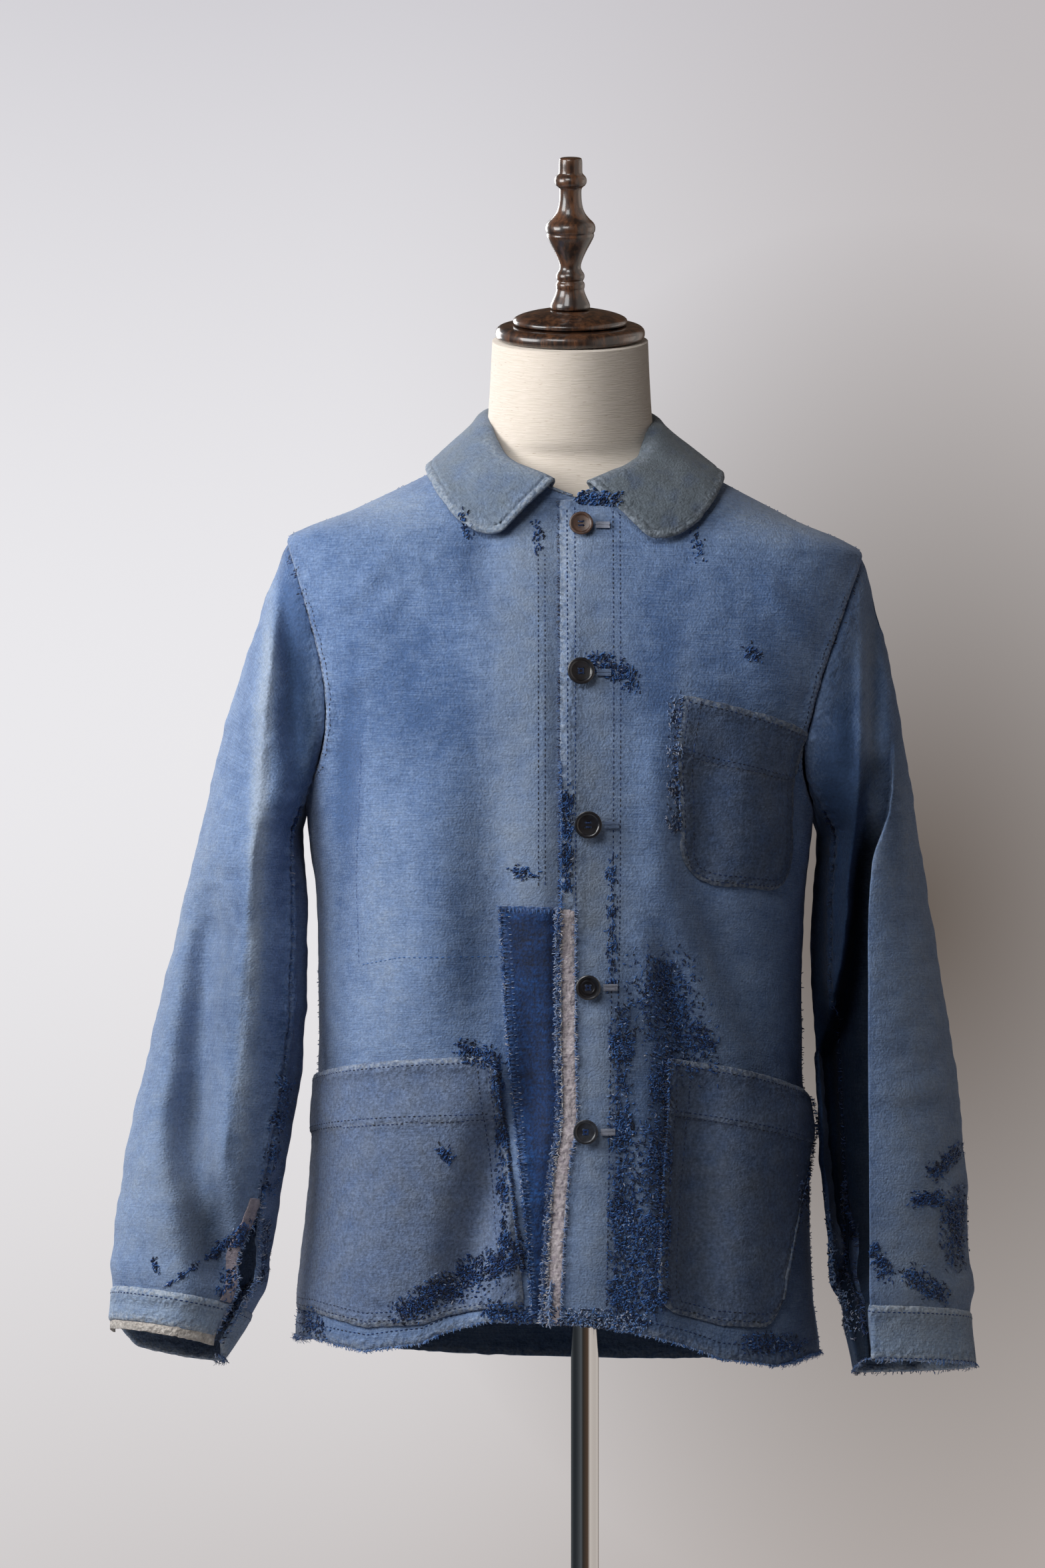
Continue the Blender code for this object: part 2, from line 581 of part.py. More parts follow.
def make_collar():
    """The collar's fall from its roll line to its edge, and the band that it stands on."""
    edge_turn, edge_height = collar_edge()
    roll_turn = COLLAR["roll_turn"]
    roll_turn = np.concatenate([-roll_turn, roll_turn[-2::-1]])
    edge_turn = np.concatenate([-edge_turn, edge_turn[-2::-1]])
    edge_height = np.concatenate([edge_height, edge_height[-2::-1]])
    roll = neck_ring(roll_turn, roll_height(roll_turn))
    edge = moved(edge_turn, edge_height, np.full(edge_turn.shape, 0.0080))
    rows = np.array([0, 0.12, 0.3, 0.5, 0.7, 0.87, 1.0])
    grid = roll[None] * (1 - rows)[:, None, None] + edge[None] * rows[:, None, None]
    lifted = grid_out(grid)
    lifted *= np.sign(lifted[..., 2:3] + 0.3)
    grid = grid + lifted * (0.001 + COLLAR_ROLL * np.sin(pi * rows) ** 0.8)[:, None, None]
    out = grid_out(grid)
    out *= np.sign(np.sum(out * lifted, -1, keepdims=True))
    wall("collar", grid, out, MOLESKIN, COLLAR_CLOTH)
    turns = np.linspace(-0.006, -0.994, 33)
    away = np.abs((turns + 0.5) % 1 - 0.5)
    sewn = np.where(away < 0.25, 0.25 * (away / 0.25) ** 1.6, away) * np.where(turns > -0.5, -1, 1)
    low = FRONT_NECK + (NECK - FRONT_NECK) * np.clip(np.abs(sewn) / 0.2, 0, 1) ** 0.6
    bottom = body(sewn, low)
    bottom[:, 2] += 0.0022
    top = neck_ring(turns, np.maximum(roll_height(turns) - 0.0075, low + 0.003))
    radial = unit(top * (1, 1, 0) - (LEAN, 0, 0))
    top -= radial * 0.0028
    grid = np.stack([bottom, (bottom + top) / 2, top])
    out = grid_out(grid)
    out *= np.sign(np.sum(out * radial[None], -1, keepdims=True))
    wall("neckband", grid, out, MOLESKIN, 0.0016)


def ring_loft(name, rings, finish):
    """A closed body through rings of points, with both ends capped."""
    shape = bmesh.new()
    loops = [[shape.verts.new(p) for p in ring] for ring in rings]
    count = len(loops[0])
    for low, high in zip(loops, loops[1:]):
        for i in range(count):
            j = (i + 1) % count
            shape.faces.new((low[i], low[j], high[j], high[i]))
    shape.faces.new(loops[0])
    shape.faces.new(loops[-1])
    return keep(name, from_bmesh(shape), finish)


def form_ring(height, around):
    """One section of the form; the neck's sections tilt forward."""
    size = {name: smooth(FORM, name, height) for name in FORM if name != "height"}
    angle = 2 * pi * around
    x = power(np.sin(angle), 2 / size["square"]) * size["half"]
    follow = np.clip((height - 0.9) / 0.35, 0, 1) * np.clip((1.370 - height) / 0.03, 0, 1)
    middle, half = (size["front"] + size["back"]) / 2, (size["back"] - size["front"]) / 2
    y = -power(np.cos(angle), 2 / size["square"]) * half
    z = height + y * np.tan(np.radians(size["tilt"])) - SIDE_SLOPE * x * follow
    return np.stack([x + size["centre"] + LEAN * (height > 0), y + middle, z], -1)


def make_form():
    around = np.arange(30) / 30
    levels = np.concatenate([FORM["height"][:12], np.linspace(FORM["height"][12], NECK_TOP, 12)])
    levels = np.sort(np.concatenate([levels, (0.775, 0.865, 0.985)]))
    body_form = ring_loft("form_torso", [form_ring(level, around) for level in levels], LINEN)
    body_form.data.shade_smooth()
    return body_form


def turned(name, profile, finish, around=AROUND_TURNED):
    """A body turned from a profile in millimetres, standing on the origin."""
    shape = bmesh.new()
    points = [shape.verts.new((radius / 1000, 0, height / 1000)) for height, radius in profile]
    edges = [shape.edges.new(pair) for pair in zip(points, points[1:])]
    if profile[0][1] > 0:
        edges.append(shape.edges.new((points[-1], points[0])))
    bmesh.ops.spin(
        shape, geom=points + edges, axis=(0, 0, 1), angle=2 * pi, steps=around, use_merge=True
    )
    bmesh.ops.remove_doubles(shape, verts=shape.verts, dist=1e-6)
    made = keep(name, from_bmesh(shape), finish)
    made.data.shade_smooth()
    made.data.set_sharp_from_angle(angle=radians(35))
    return made


def make_cap(carrier):
    """Two wooden discs and the finial, square to the tilted neck."""
    lean, forward = FORM["centre"][-1], (FORM["front"][-1] + FORM["back"][-1]) / 2
    at = Vector((LEAN + lean, forward, NECK_TOP + 0.0004))
    tilt = radians(NECK_TILT)
    axis = Vector((0, -sin(tilt), cos(tilt)))
    for name, profile, along in (
        ("cap_lower", CAP_LOWER, 0.0),
        ("cap_upper", CAP_UPPER, 0.0118),
        ("finial", FINIAL, 0.0236),
    ):
        piece = turned(name, profile, DARK_WOOD)
        piece.parent = carrier
        piece.location = at + axis * along
        piece.rotation_euler = (tilt, 0, 0)


def make_stand():
    """The pole, the socket that holds the form on it, and the round base with its hub."""
    rim = BASE_RADIUS * 1000
    top = BASE_THICK * 1000
    plate = ((0, 0), (0, rim - 2), (2, rim), (top - 5, rim), (top - 1, rim - 5), (top, rim - 12), (top, 0))
    turned("base_plate", plate, IRON, 48)
    hub = turned("base_hub", HUB, IRON)
    hub.location.z = BASE_THICK + SEAM
    low, high = BASE_THICK + SEAM, FORM_BOTTOM - SEAM
    rod = POLE_RADIUS * 1000
    tall = (high - low) * 1000
    pole = turned("pole", ((0, 0), (0, rod), (tall, rod), (tall, 0)), CHROME)
    pole.location.z = low
    socket = turned("pole_socket", SOCKET, CHROME)
    socket.location.z = FORM_BOTTOM - SEAM - 0.0295


def button_mesh(diameter):
    """A four-hole button with a raised rim and a dished middle."""
    r = diameter * 500
    back = ((0, 0), (0, r * 0.82), (1.1, r))
    rim = ((2.6, r), (3.3, r * 0.93), (3.2, r * 0.82), (2.2, r * 0.62), (2.0, 0))
    disc = turned("button_blank", back + rim, HORN, 16)
    drill = bmesh.new()
    for i in range(4):
        angle = pi / 4 + i * pi / 2
        at = Matrix.Translation((cos(angle) * 0.0025, sin(angle) * 0.0025, 0.001))
        bmesh.ops.create_cone(
            drill, cap_ends=True, segments=6, radius1=0.0009, radius2=0.0009, depth=0.008, matrix=at
        )
    holes = keep("button_drill", from_bmesh(drill), HORN)
    holes.hide_render = True
    cut = disc.modifiers.new("holes", "BOOLEAN")
    cut.operation = "DIFFERENCE"
    cut.object = holes
    drilled = bpy.data.meshes.new_from_object(disc.evaluated_get(bpy.context.evaluated_depsgraph_get()))
    bpy.data.objects.remove(disc)
    bpy.data.objects.remove(holes)
    return drilled


def make_buttons():
    """Each button lies on the left front's cloth where its shank is sewn."""
    front = bpy.data.objects["front_left"]
    bpy.context.view_layer.update()
    meshes = {}
    for number, (across, high, diameter) in enumerate(BUTTONS, 1):
        if diameter not in meshes:
            meshes[diameter] = button_mesh(diameter)
        _, place, out, _ = front.ray_cast((across + LEAN, -1.0, high), (0, 1, 0))
        place = place + out * BUTTON_LIFT
        button = bpy.data.objects.new(f"button_{number}", meshes[diameter])
        bpy.context.scene.collection.objects.link(button)
        button.location = place
        button.rotation_euler = (pi / 2 - atan2(out[2], -out[1]), 0, atan2(out[0], -out[1]))


make_body()
make_pockets()
make_patches()
for arm in (-1, 1):
    make_sleeve(arm)
make_sleeve_trims()
make_collar()
make_cap(make_form())
make_stand()
make_buttons()
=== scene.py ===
"""A patched blue work jacket, buttoned on a limbless dress form: the finished surfaces.

Metres, +Z up. The origin is the centre of the base's underside, and the jacket's front faces -Y.
"Left" and "right" in names are the wearer's, so the left side is at +X.
"""

import json
from math import pi, radians

import bmesh
import bpy
import numpy as np
from mathutils import Matrix, Vector, noise
from mathutils.bvhtree import BVHTree

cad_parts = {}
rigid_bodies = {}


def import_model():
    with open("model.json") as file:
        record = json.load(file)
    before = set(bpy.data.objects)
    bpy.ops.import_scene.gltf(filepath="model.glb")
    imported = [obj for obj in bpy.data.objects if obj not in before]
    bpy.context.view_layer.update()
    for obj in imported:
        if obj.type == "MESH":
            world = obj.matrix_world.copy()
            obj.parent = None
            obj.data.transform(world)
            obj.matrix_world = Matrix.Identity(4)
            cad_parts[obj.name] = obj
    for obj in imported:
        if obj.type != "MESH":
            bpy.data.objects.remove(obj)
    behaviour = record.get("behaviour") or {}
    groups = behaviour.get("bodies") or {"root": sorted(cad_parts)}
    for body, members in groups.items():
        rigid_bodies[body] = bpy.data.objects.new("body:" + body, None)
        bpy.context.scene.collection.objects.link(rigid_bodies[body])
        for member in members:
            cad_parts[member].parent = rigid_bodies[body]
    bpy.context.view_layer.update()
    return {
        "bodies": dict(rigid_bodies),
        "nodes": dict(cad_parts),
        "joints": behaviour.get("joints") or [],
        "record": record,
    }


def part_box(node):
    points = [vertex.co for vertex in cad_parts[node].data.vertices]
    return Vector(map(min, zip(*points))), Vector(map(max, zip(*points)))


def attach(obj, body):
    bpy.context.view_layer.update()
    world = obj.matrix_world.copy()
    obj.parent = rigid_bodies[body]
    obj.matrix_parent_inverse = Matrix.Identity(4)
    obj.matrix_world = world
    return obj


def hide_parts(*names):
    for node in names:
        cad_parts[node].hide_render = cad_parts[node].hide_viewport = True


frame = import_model()


# The room: a pale floor that fades out, a pale background painted darker to one side as the light
# falls off, one large soft light from the wearer's right, and weaker ones for the sides and the back.
def linear(code):
    """An sRGB hex colour as the linear colour that sockets hold."""
    parts = [int(code[i : i + 2], 16) / 255 for i in (1, 3, 5)]
    return (*(p / 12.92 if p <= 0.04045 else ((p + 0.055) / 1.055) ** 2.4 for p in parts), 1.0)


def plug(tree, node, inputs):
    """Sets a node's inputs: links those given as sockets or nodes, and turns hex colours linear."""
    for where, value in inputs.items():
        if isinstance(value, bpy.types.Node):
            value = next(socket for socket in value.outputs if socket.enabled)
        if isinstance(value, bpy.types.NodeSocket):
            tree.links.new(value, node.inputs[where])
        else:
            coded = isinstance(value, str) and value.startswith("#")
            node.inputs[where].default_value = linear(value) if coded else value


def add(tree, kind, inputs=None, **settings):
    """Adds a node with its settings and its inputs. A kind with no family is a shader node's."""
    made = tree.nodes.new(kind if "Node" in kind else f"ShaderNode{kind}")
    for name, value in settings.items():
        setattr(made, name, value)
    plug(tree, made, inputs or {})
    return made


CHEST = Vector((0, -0.05, 1.02))
scene = bpy.context.scene
scene.view_settings.view_transform = "Standard"

eye = bpy.data.objects.new("camera", bpy.data.cameras.new("camera"))
eye.data.sensor_fit = "VERTICAL"
eye.data.sensor_height = eye.data.sensor_width = 36
eye.data.lens = 100.05
eye.location = (-0.0486, -3.4, 1.085)
eye.rotation_euler = (pi / 2, 0, 0)
scene.collection.objects.link(eye)
scene.camera = eye


def lamp(name, place, size, power, colour="#ffffff"):
    """A square soft light that faces the chest."""
    light = bpy.data.lights.new(name, "AREA")
    light.size = size
    light.energy = power
    light.color = linear(colour)[:3]
    made = bpy.data.objects.new(name, light)
    made.location = place
    made.rotation_euler = (CHEST - Vector(place)).to_track_quat("-Z", "Y").to_euler()
    scene.collection.objects.link(made)


lamp("window", (-1.45, -0.70, 1.70), 0.9, 25)
lamp("window_high", (-0.60, -1.45, 2.25), 0.7, 11.5)
lamp("window_behind", (-1.5, 2.4, 2.0), 1.6, 42)
lamp("bounce_side", (2.6, 0.6, 1.5), 1.4, 5, "#fff0e4")
lamp("bounce_front", (0.2, -3.6, 2.2), 1.6, 1, "#fff0e4")

# Behind the piece the wall is pale, with painted shade above and below and a painted shadow on its right.
# Polished surfaces see a room that is dark in front and bright to the right; the rest is dim fill.
PAINTED_WALL_SHADE = (
    ((-0.04, 0.26), (0.50, 0.30), "#b3b0b8"),
    ((0.02, -0.30), (0.60, 0.38), "#8a7b6f"),
    ((0.086, -0.03), (0.13, 0.16), "#5e544c"),
)
SMALL_SHADE = 0.2
MIRRORED = {0: "#2b2f33", 0.25: "#585d61", 0.36: "#33302d", 0.72: "#5a483b", 0.84: "#ded6cf", 1: "#cfc7c0"}


def set_stops(ramp, colours):
    """Gives a ramp its colours by their places."""
    stops = ramp.color_ramp.elements
    for place in list(colours)[1:-1]:
        stops.new(place)
    for stop, (place, colour) in zip(stops, colours.items()):
        stop.position, stop.color = place, linear(colour)


world = bpy.data.worlds.new("room")
world.use_nodes = True
scene.world = world
sky = world.node_tree
sky.nodes.clear()
ray = add(sky, "TexCoord").outputs["Generated"]
leftward = add(sky, "SeparateXYZ", {0: ray}).outputs["X"]
# Painted shade: the wall seen by the camera is painted darker to the right, as the light falls off.
side = add(sky, "MapRange", {0: leftward, 1: -0.05, 2: 0.12}, interpolation_type="SMOOTHSTEP")
wall = add(sky, "Mix", {0: side, 6: "#edecef", 7: "#c5c0bf"}, data_type="RGBA")
for (across, high), (wide, tall), colour in PAINTED_WALL_SHADE:
    reach = {0: ray, 1: (-across / wide, -1 / wide, -high / tall), 3: (1 / wide, 1 / wide, 1 / tall)}
    fade = "SPHERICAL" if wide < SMALL_SHADE else "QUADRATIC_SPHERE"
    spot = add(sky, "TexGradient", {0: add(sky, "Mapping", reach)}, gradient_type=fade)
    wall = add(sky, "Mix", {0: spot.outputs[1], 6: wall, 7: colour}, data_type="RGBA")
mirrored = add(sky, "ValToRGB", {0: add(sky, "MapRange", {0: leftward, 1: -1.0, 2: 1.0})})
set_stops(mirrored, MIRRORED)
path = add(sky, "LightPath")
lit = add(sky, "Background", {0: "#e4e1e2", 1: 0.040})
for kind, colour in (("Is Glossy Ray", mirrored), ("Is Camera Ray", wall)):
    other = add(sky, "Background", {0: colour, 1: 1.0})
    lit = add(sky, "MixShader", {0: path.outputs[kind], 1: lit, 2: other})
add(sky, "OutputWorld", {0: lit})

FLOOR_RADIUS, FLOOR_SOLID, FLOOR_SIDES = 2.3, 0.9, 96


def material(name, **sockets):
    """A material with one Principled shader whose plain values are set on its own sockets."""
    made = bpy.data.materials.new(name)
    made.use_nodes = True
    shader = made.node_tree.nodes["Principled BSDF"]
    plug(made.node_tree, shader, {socket.replace("_", " "): value for socket, value in sockets.items()})
    return made, made.node_tree, shader


def mesh_object(name, points, faces):
    """A new object in the scene, with its points where they lie."""
    mesh = bpy.data.meshes.new(name)
    mesh.from_pydata(points, [], faces)
    mesh.validate()
    made = bpy.data.objects.new(name, mesh)
    scene.collection.objects.link(made)
    return made


turn = np.arange(FLOOR_SIDES) / FLOOR_SIDES * 2 * pi
floor = mesh_object(
    "floor",
    np.stack([np.cos(turn) * FLOOR_RADIUS, np.sin(turn) * FLOOR_RADIUS, 0 * turn], -1),
    [list(range(FLOOR_SIDES))],
)
PAINTED_FLOOR, tree, shader = material("painted floor", Roughness=0.7, Base_Color="#c9c7c8")
place = add(tree, "TexCoord").outputs["Object"]
ring = add(tree, "VectorMath", {0: place}, operation="LENGTH")
solid = add(tree, "MapRange", {0: ring, 1: FLOOR_SOLID, 2: FLOOR_RADIUS - 0.05, 3: 1.0, 4: 0.0})
plug(tree, shader, {"Alpha": solid})
floor.data.materials.append(PAINTED_FLOOR)


# The form's torso: a hard hollow shell covered in ecru linen, drawn tight and sewn round the foot of
# the neck. Only the neck and the inside of the hem show past the jacket.
LEAN = -0.008
SIDE_SLOPE = 0.025
NECK_TILT = 14.0
NECK_TOP = 1.430


def table(columns, *rows, in_mm=0):
    """Rows of numbers as named columns. The first is the one looked up; the first few may be in mm."""
    values = np.array(rows, float).T
    values[:in_mm] /= 1000
    return dict(zip(columns.split(), values))


FORM = table(
    "height half front back centre square tilt",
    (0.725, 0.136, -0.09, 0.098, 0.006, 2.2, 0),
    (0.731, 0.146, -0.099, 0.107, 0.006, 2.2, 0),
    (0.745, 0.152, -0.104, 0.111, 0.006, 2.2, 0),
    (0.81, 0.157, -0.108, 0.114, 0.004, 2.2, 0),
    (0.92, 0.132, -0.094, 0.092, 0.002, 2.2, 0),
    (1.05, 0.15, -0.113, 0.108, 0, 2.2, 0),
    (1.12, 0.159, -0.119, 0.114, 0, 2.3, 0),
    (1.18, 0.166, -0.109, 0.115, 0, 2.3, 0),
    (1.225, 0.178, -0.092, 0.104, 0, 2.2, 0),
    (1.255, 0.188, -0.078, 0.092, 0, 2.2, 0),
    (1.272, 0.187, -0.072, 0.086, 0, 2.2, 0),
    (1.283, 0.1805, -0.07, 0.082, 0, 2.1, 0),
    (1.2915, 0.169, -0.066, 0.08, 0, 2.1, 0),
    (1.319, 0.113, -0.058, 0.071, 0, 2, 0),
    (1.335, 0.0795, -0.057, 0.066, 0, 2, 0),
    (1.348, 0.0665, -0.062, 0.062, -0.003, 2, 3),
    (1.37, 0.064, -0.066, 0.058, -0.0036, 2, 8),
    (1.4, 0.062, -0.071, 0.053, -0.0036, 2, 12),
    (NECK_TOP, 0.0605, -0.0765, 0.0465, -0.0036, 2, NECK_TILT),
)
FORM_AROUND = 120
FORM_RISE = 0.005


def smooth(rows, column, where):
    """A column read between its rows by a curve that never overshoots them."""
    knots, values = next(iter(rows.values())), rows[column]
    step = np.diff(knots)
    slope = np.diff(values) / step
    bend = np.zeros(len(knots))
    bend[0], bend[-1] = slope[0], slope[-1]
    same = slope[:-1] * slope[1:] > 0
    bend[1:-1][same] = (2 * slope[:-1] * slope[1:])[same] / (slope[:-1] + slope[1:])[same]
    where = np.clip(where, knots[0], knots[-1])
    i = np.clip(np.searchsorted(knots, where) - 1, 0, len(step) - 1)
    t = (where - knots[i]) / step[i]
    start = (1 + 2 * t) * (1 - t) ** 2 * values[i] + t * (1 - t) ** 2 * step[i] * bend[i]
    return start + t**2 * (3 - 2 * t) * values[i + 1] + t**2 * (t - 1) * step[i] * bend[i + 1]


def power(value, exponent):
    return np.sign(value) * np.abs(value) ** exponent


def form_ring(height, around):
    """One section of the form; the neck's sections tilt forward."""
    size = {name: smooth(FORM, name, height) for name in FORM}
    angle = 2 * pi * around
    x = power(np.sin(angle), 2 / size["square"]) * size["half"]
    follow = np.clip((height - 0.9) / 0.35, 0, 1) * np.clip((1.370 - height) / 0.03, 0, 1)
    middle, half = (size["front"] + size["back"]) / 2, (size["back"] - size["front"]) / 2
    y = -power(np.cos(angle), 2 / size["square"]) * half
    z = height + y * np.tan(np.radians(size["tilt"])) - SIDE_SLOPE * x * follow
    return np.stack([x + size["centre"] + LEAN, y + middle, z], -1)


def set_attributes(mesh, flat, marks=None):
    """The cut's flat coordinates in metres as a UV map, and each named mark on the points."""
    corner = np.empty(len(mesh.loops), np.int32)
    mesh.loops.foreach_get("vertex_index", corner)
    mesh.uv_layers.new(name="cut").data.foreach_set("uv", flat[corner].astype(np.float32).ravel())
    for name, values in (marks or {}).items():
        made = mesh.attributes.new(name, "FLOAT_VECTOR", "POINT")
        made.data.foreach_set("vector", values.astype(np.float32).ravel())


heights = np.arange(0.731, NECK_TOP, FORM_RISE)
heights = np.concatenate([(0.7250, 0.7265), heights, (NECK_TOP - 0.0006, NECK_TOP)])
around = np.arange(FORM_AROUND + 1) / FORM_AROUND
rings = np.stack([form_ring(height, around) for height in heights])
rings[0] += (rings[0].mean(0) - rings[0]) * 0.012
rings[-1] += (rings[-1].mean(0) - rings[-1]) * 0.02
count = FORM_AROUND + 1
quads = [
    (r * count + c, r * count + c + 1, (r + 1) * count + c + 1, (r + 1) * count + c)
    for r in range(len(heights) - 1)
    for c in range(FORM_AROUND)
]
caps = [list(range(FORM_AROUND))[::-1], [(len(heights) - 1) * count + c for c in range(FORM_AROUND)]]
torso = mesh_object("form_linen_torso", rings.reshape(-1, 3), quads + caps)
girth = np.linalg.norm(np.diff(rings, axis=1), axis=2).sum(1)
set_attributes(
    torso.data,
    np.stack([around[None] * girth[:, None], np.repeat(heights[:, None], count, 1)], -1).reshape(-1, 2),
)
shape = bmesh.new()
shape.from_mesh(torso.data)
bmesh.ops.remove_doubles(shape, verts=shape.verts, dist=1e-5)
bmesh.ops.recalc_face_normals(shape, faces=shape.faces)
shape.to_mesh(torso.data)
shape.free()
torso.data.shade_smooth()
torso.data.set_sharp_from_angle(angle=radians(50))

# Ecru linen, plain woven and unbleached: matt, with brown flecks and slubs along both threads. Its
# threads lie 0.6 mm apart and are drawn 1.3 mm apart, so that they show.
LINEN_THREAD = 0.0013
LINEN, tree, shader = material(
    "plain woven ecru linen", Roughness=0.88, Sheen_Weight=0.25, Sheen_Roughness=0.5
)
cut = add(tree, "UVMap", uv_map="cut")
shades = []
for turned_by, slub in ((0, 0.010), (pi / 2, 0.022)):
    lie = add(tree, "Mapping", {0: cut, 2: (0, 0, turned_by), 3: (1 / slub, 1 / LINEN_THREAD, 1)})
    shades.append(add(tree, "TexNoise", {0: lie, 2: 1.0, 3: 1.5}))
threads = add(tree, "Math", {0: shades[0], 1: shades[1]}, operation="MAXIMUM")
pale = add(tree, "MapRange", {0: threads, 1: 0.30, 2: 0.80})
ground = add(tree, "Mix", {0: pale, 6: "#eadece", 7: "#f8ece0"}, data_type="RGBA")
for turned_by, long, threshold in ((0, 0.006, 0.69), (pi / 2, 0.008, 0.715)):
    lie = add(tree, "Mapping", {0: cut, 1: (3, 7, 1), 2: (0, 0, turned_by), 3: (1 / long, 1100, 1)})
    speck = add(tree, "TexNoise", {0: lie, 2: 1.0, 3: 1.0})
    share = add(tree, "MapRange", {0: speck, 1: threshold, 2: threshold + 0.09, 4: 0.55})
    ground = add(tree, "Mix", {0: share, 6: ground, 7: "#a8835f"}, data_type="RGBA")
bump = add(tree, "Bump", {"Height": threads, "Strength": 0.7, "Distance": 0.0006})
plug(tree, shader, {"Base Color": ground, "Normal": bump})


def fit(piece, node, slot, *finishes):
    """Gives a piece its finishes, sets it on the root body and hides the node of the CAD model it stands
    for.
    """
    for finish in finishes:
        piece.data.materials.append(finish)
    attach(piece, "root")
    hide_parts(node)


fit(torso, "form_torso", "linen", LINEN)


# The cap and the finial: two stepped discs and a turned urn, walnut stained nearly black, under a
# thick gloss lacquer. They stand square to the tilted top of the neck.
FINIAL = (
    (0, 0), (0, 14.5), (1.5, 15.5), (4, 15.3), (8, 13.4), (12, 11.6), (15.5, 10.6), (17, 11.2), (20, 11.3),
    (22, 9.6), (24, 11.0), (27, 11.1), (30, 9.0), (32.5, 8.0), (37, 8.8), (45, 12.3), (52, 16.2),
    (57, 18.6), (58.8, 17.9), (60.5, 19.2), (64, 19.4), (67, 18.0), (70, 14.6), (75, 10.6), (82, 8.7),
    (91, 8.3), (94, 8.8), (95.5, 11.4), (98.5, 12.7), (102, 12.0), (104.5, 9.4), (106, 9.0), (115.5, 9.0),
    (117, 7.6), (117, 0),
)
CAP_LOWER = ((0, 0), (0, 54.5), (1.5, 57.4), (4.5, 58.3), (8, 57.6), (10.5, 54.5), (11.5, 49), (11.5, 0))
CAP_UPPER = ((0, 0), (0, 43.6), (2.5, 44.7), (5, 43.4), (8, 36), (11, 22), (11.5, 18), (11.5, 0))
CAP_PIECES = (
    ("form_cap_lower", "cap_lower", CAP_LOWER, 0.0004),
    ("form_cap_upper", "cap_upper", CAP_UPPER, 0.0122),
    ("form_finial", "finial", FINIAL, 0.0240),
)


def eased(profile, rounds=2):
    """A turned profile with its corners cut back evenly, as sanding leaves them."""
    points = np.array(profile, float)
    for _ in range(rounds):
        low, high = points[:-1], points[1:]
        between = np.stack([low * 0.75 + high * 0.25, low * 0.25 + high * 0.75], 1).reshape(-1, 2)
        points = np.concatenate([points[:1], between[1:-1], points[-1:]])
    return points


def turned(name, profile, steps=72, place=Matrix.Identity(4), sharp=30):
    """A body turned from (height, radius) in millimetres, with its place in its mesh."""
    shape = bmesh.new()
    points = [shape.verts.new((radius / 1000, 0, height / 1000)) for height, radius in profile]
    edges = [shape.edges.new(pair) for pair in zip(points, points[1:])]
    if profile[0][1] > 0:
        edges.append(shape.edges.new((points[-1], points[0])))
    bmesh.ops.spin(shape, geom=points + edges, axis=(0, 0, 1), angle=2 * pi, steps=steps, use_merge=True)
    bmesh.ops.remove_doubles(shape, verts=shape.verts, dist=1e-6)
    bmesh.ops.transform(shape, matrix=place, verts=shape.verts)
    bmesh.ops.recalc_face_normals(shape, faces=shape.faces)
    made = mesh_object(name, [], [])
    shape.to_mesh(made.data)
    shape.free()
    made.data.shade_smooth()
    made.data.set_sharp_from_angle(angle=radians(sharp))
    return made


# Walnut, turned and then stained: dark growth lines 2 mm apart along the axis, short black pores,
# and brown wood where the stain is thin on the edges. The lacquer is smooth and reflects the window.
WALNUT, tree, shader = material(
    "stained walnut under lacquer", Roughness=0.42, Coat_Weight=0.9, Coat_Roughness=0.13, Coat_IOR=1.5
)
place = add(tree, "TexCoord").outputs["Object"]
lie = add(tree, "Mapping", {0: place, 2: (-radians(NECK_TILT), 0, 0)})
long = add(tree, "Mapping", {0: lie, 3: (260, 260, 22)})
growth = add(tree, "TexNoise", {0: long, 2: 1.0, 3: 4.0, 8: 0.6})
stain = add(tree, "TexNoise", {0: lie, 2: 75.0, 3: 3.0})
level = add(tree, "Math", {0: growth, 1: stain}, operation="ADD")
level = add(tree, "MapRange", {0: level, 1: 0.86, 2: 1.22})
brown = add(tree, "Mix", {0: level, 6: "#24140d", 7: "#6b452c"}, data_type="RGBA")
fine = add(tree, "Mapping", {0: lie, 3: (1500, 1500, 160)})
pore = add(tree, "TexNoise", {0: fine, 2: 1.0, 3: 1.0})
pore = add(tree, "MapRange", {0: pore, 1: 0.60, 2: 0.68, 4: 0.8})
brown = add(tree, "Mix", {0: pore, 6: brown, 7: "#120a07"}, data_type="RGBA")
bump = add(tree, "Bump", {"Height": growth, "Strength": 0.25, "Distance": 0.0003})
plug(tree, shader, {"Base Color": brown, "Normal": bump})

neck = form_ring(NECK_TOP, around[:-1]).mean(0)
for name, node, profile, along in CAP_PIECES:
    stand = Matrix.Translation(neck) @ Matrix.Rotation(radians(NECK_TILT), 4, "X")
    piece = turned(name, eased(profile), 96, stand @ Matrix.Translation((0, 0, along)))
    fit(piece, node, "dark_wood", WALNUT)


# The stand: a chromed tube in a chromed socket under the torso, on a cast hub and a round cast base
# in black satin enamel.
POLE_LOW, POLE_HIGH = (corner.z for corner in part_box("pole"))
POLE_RADIUS = 10.8
BASE_RADIUS, BASE_THICK = 190, 12
PLATE = (
    (0, 0), (0, BASE_RADIUS - 2), (2, BASE_RADIUS), (BASE_THICK - 5, BASE_RADIUS),
    (BASE_THICK - 1, BASE_RADIUS - 5), (BASE_THICK, BASE_RADIUS - 12), (BASE_THICK, 0),
)
HUB = ((0, 11.2), (0, 34), (4, 33), (9, 24), (22, 19), (48, 17), (52, 15.5), (52, 11.2))
SOCKET = ((0, 11.2), (0, 15), (2, 17), (26, 17), (27, 19), (29.5, 19), (29.5, 11.2))
TUBE_LONG = (POLE_HIGH - POLE_LOW) * 1000
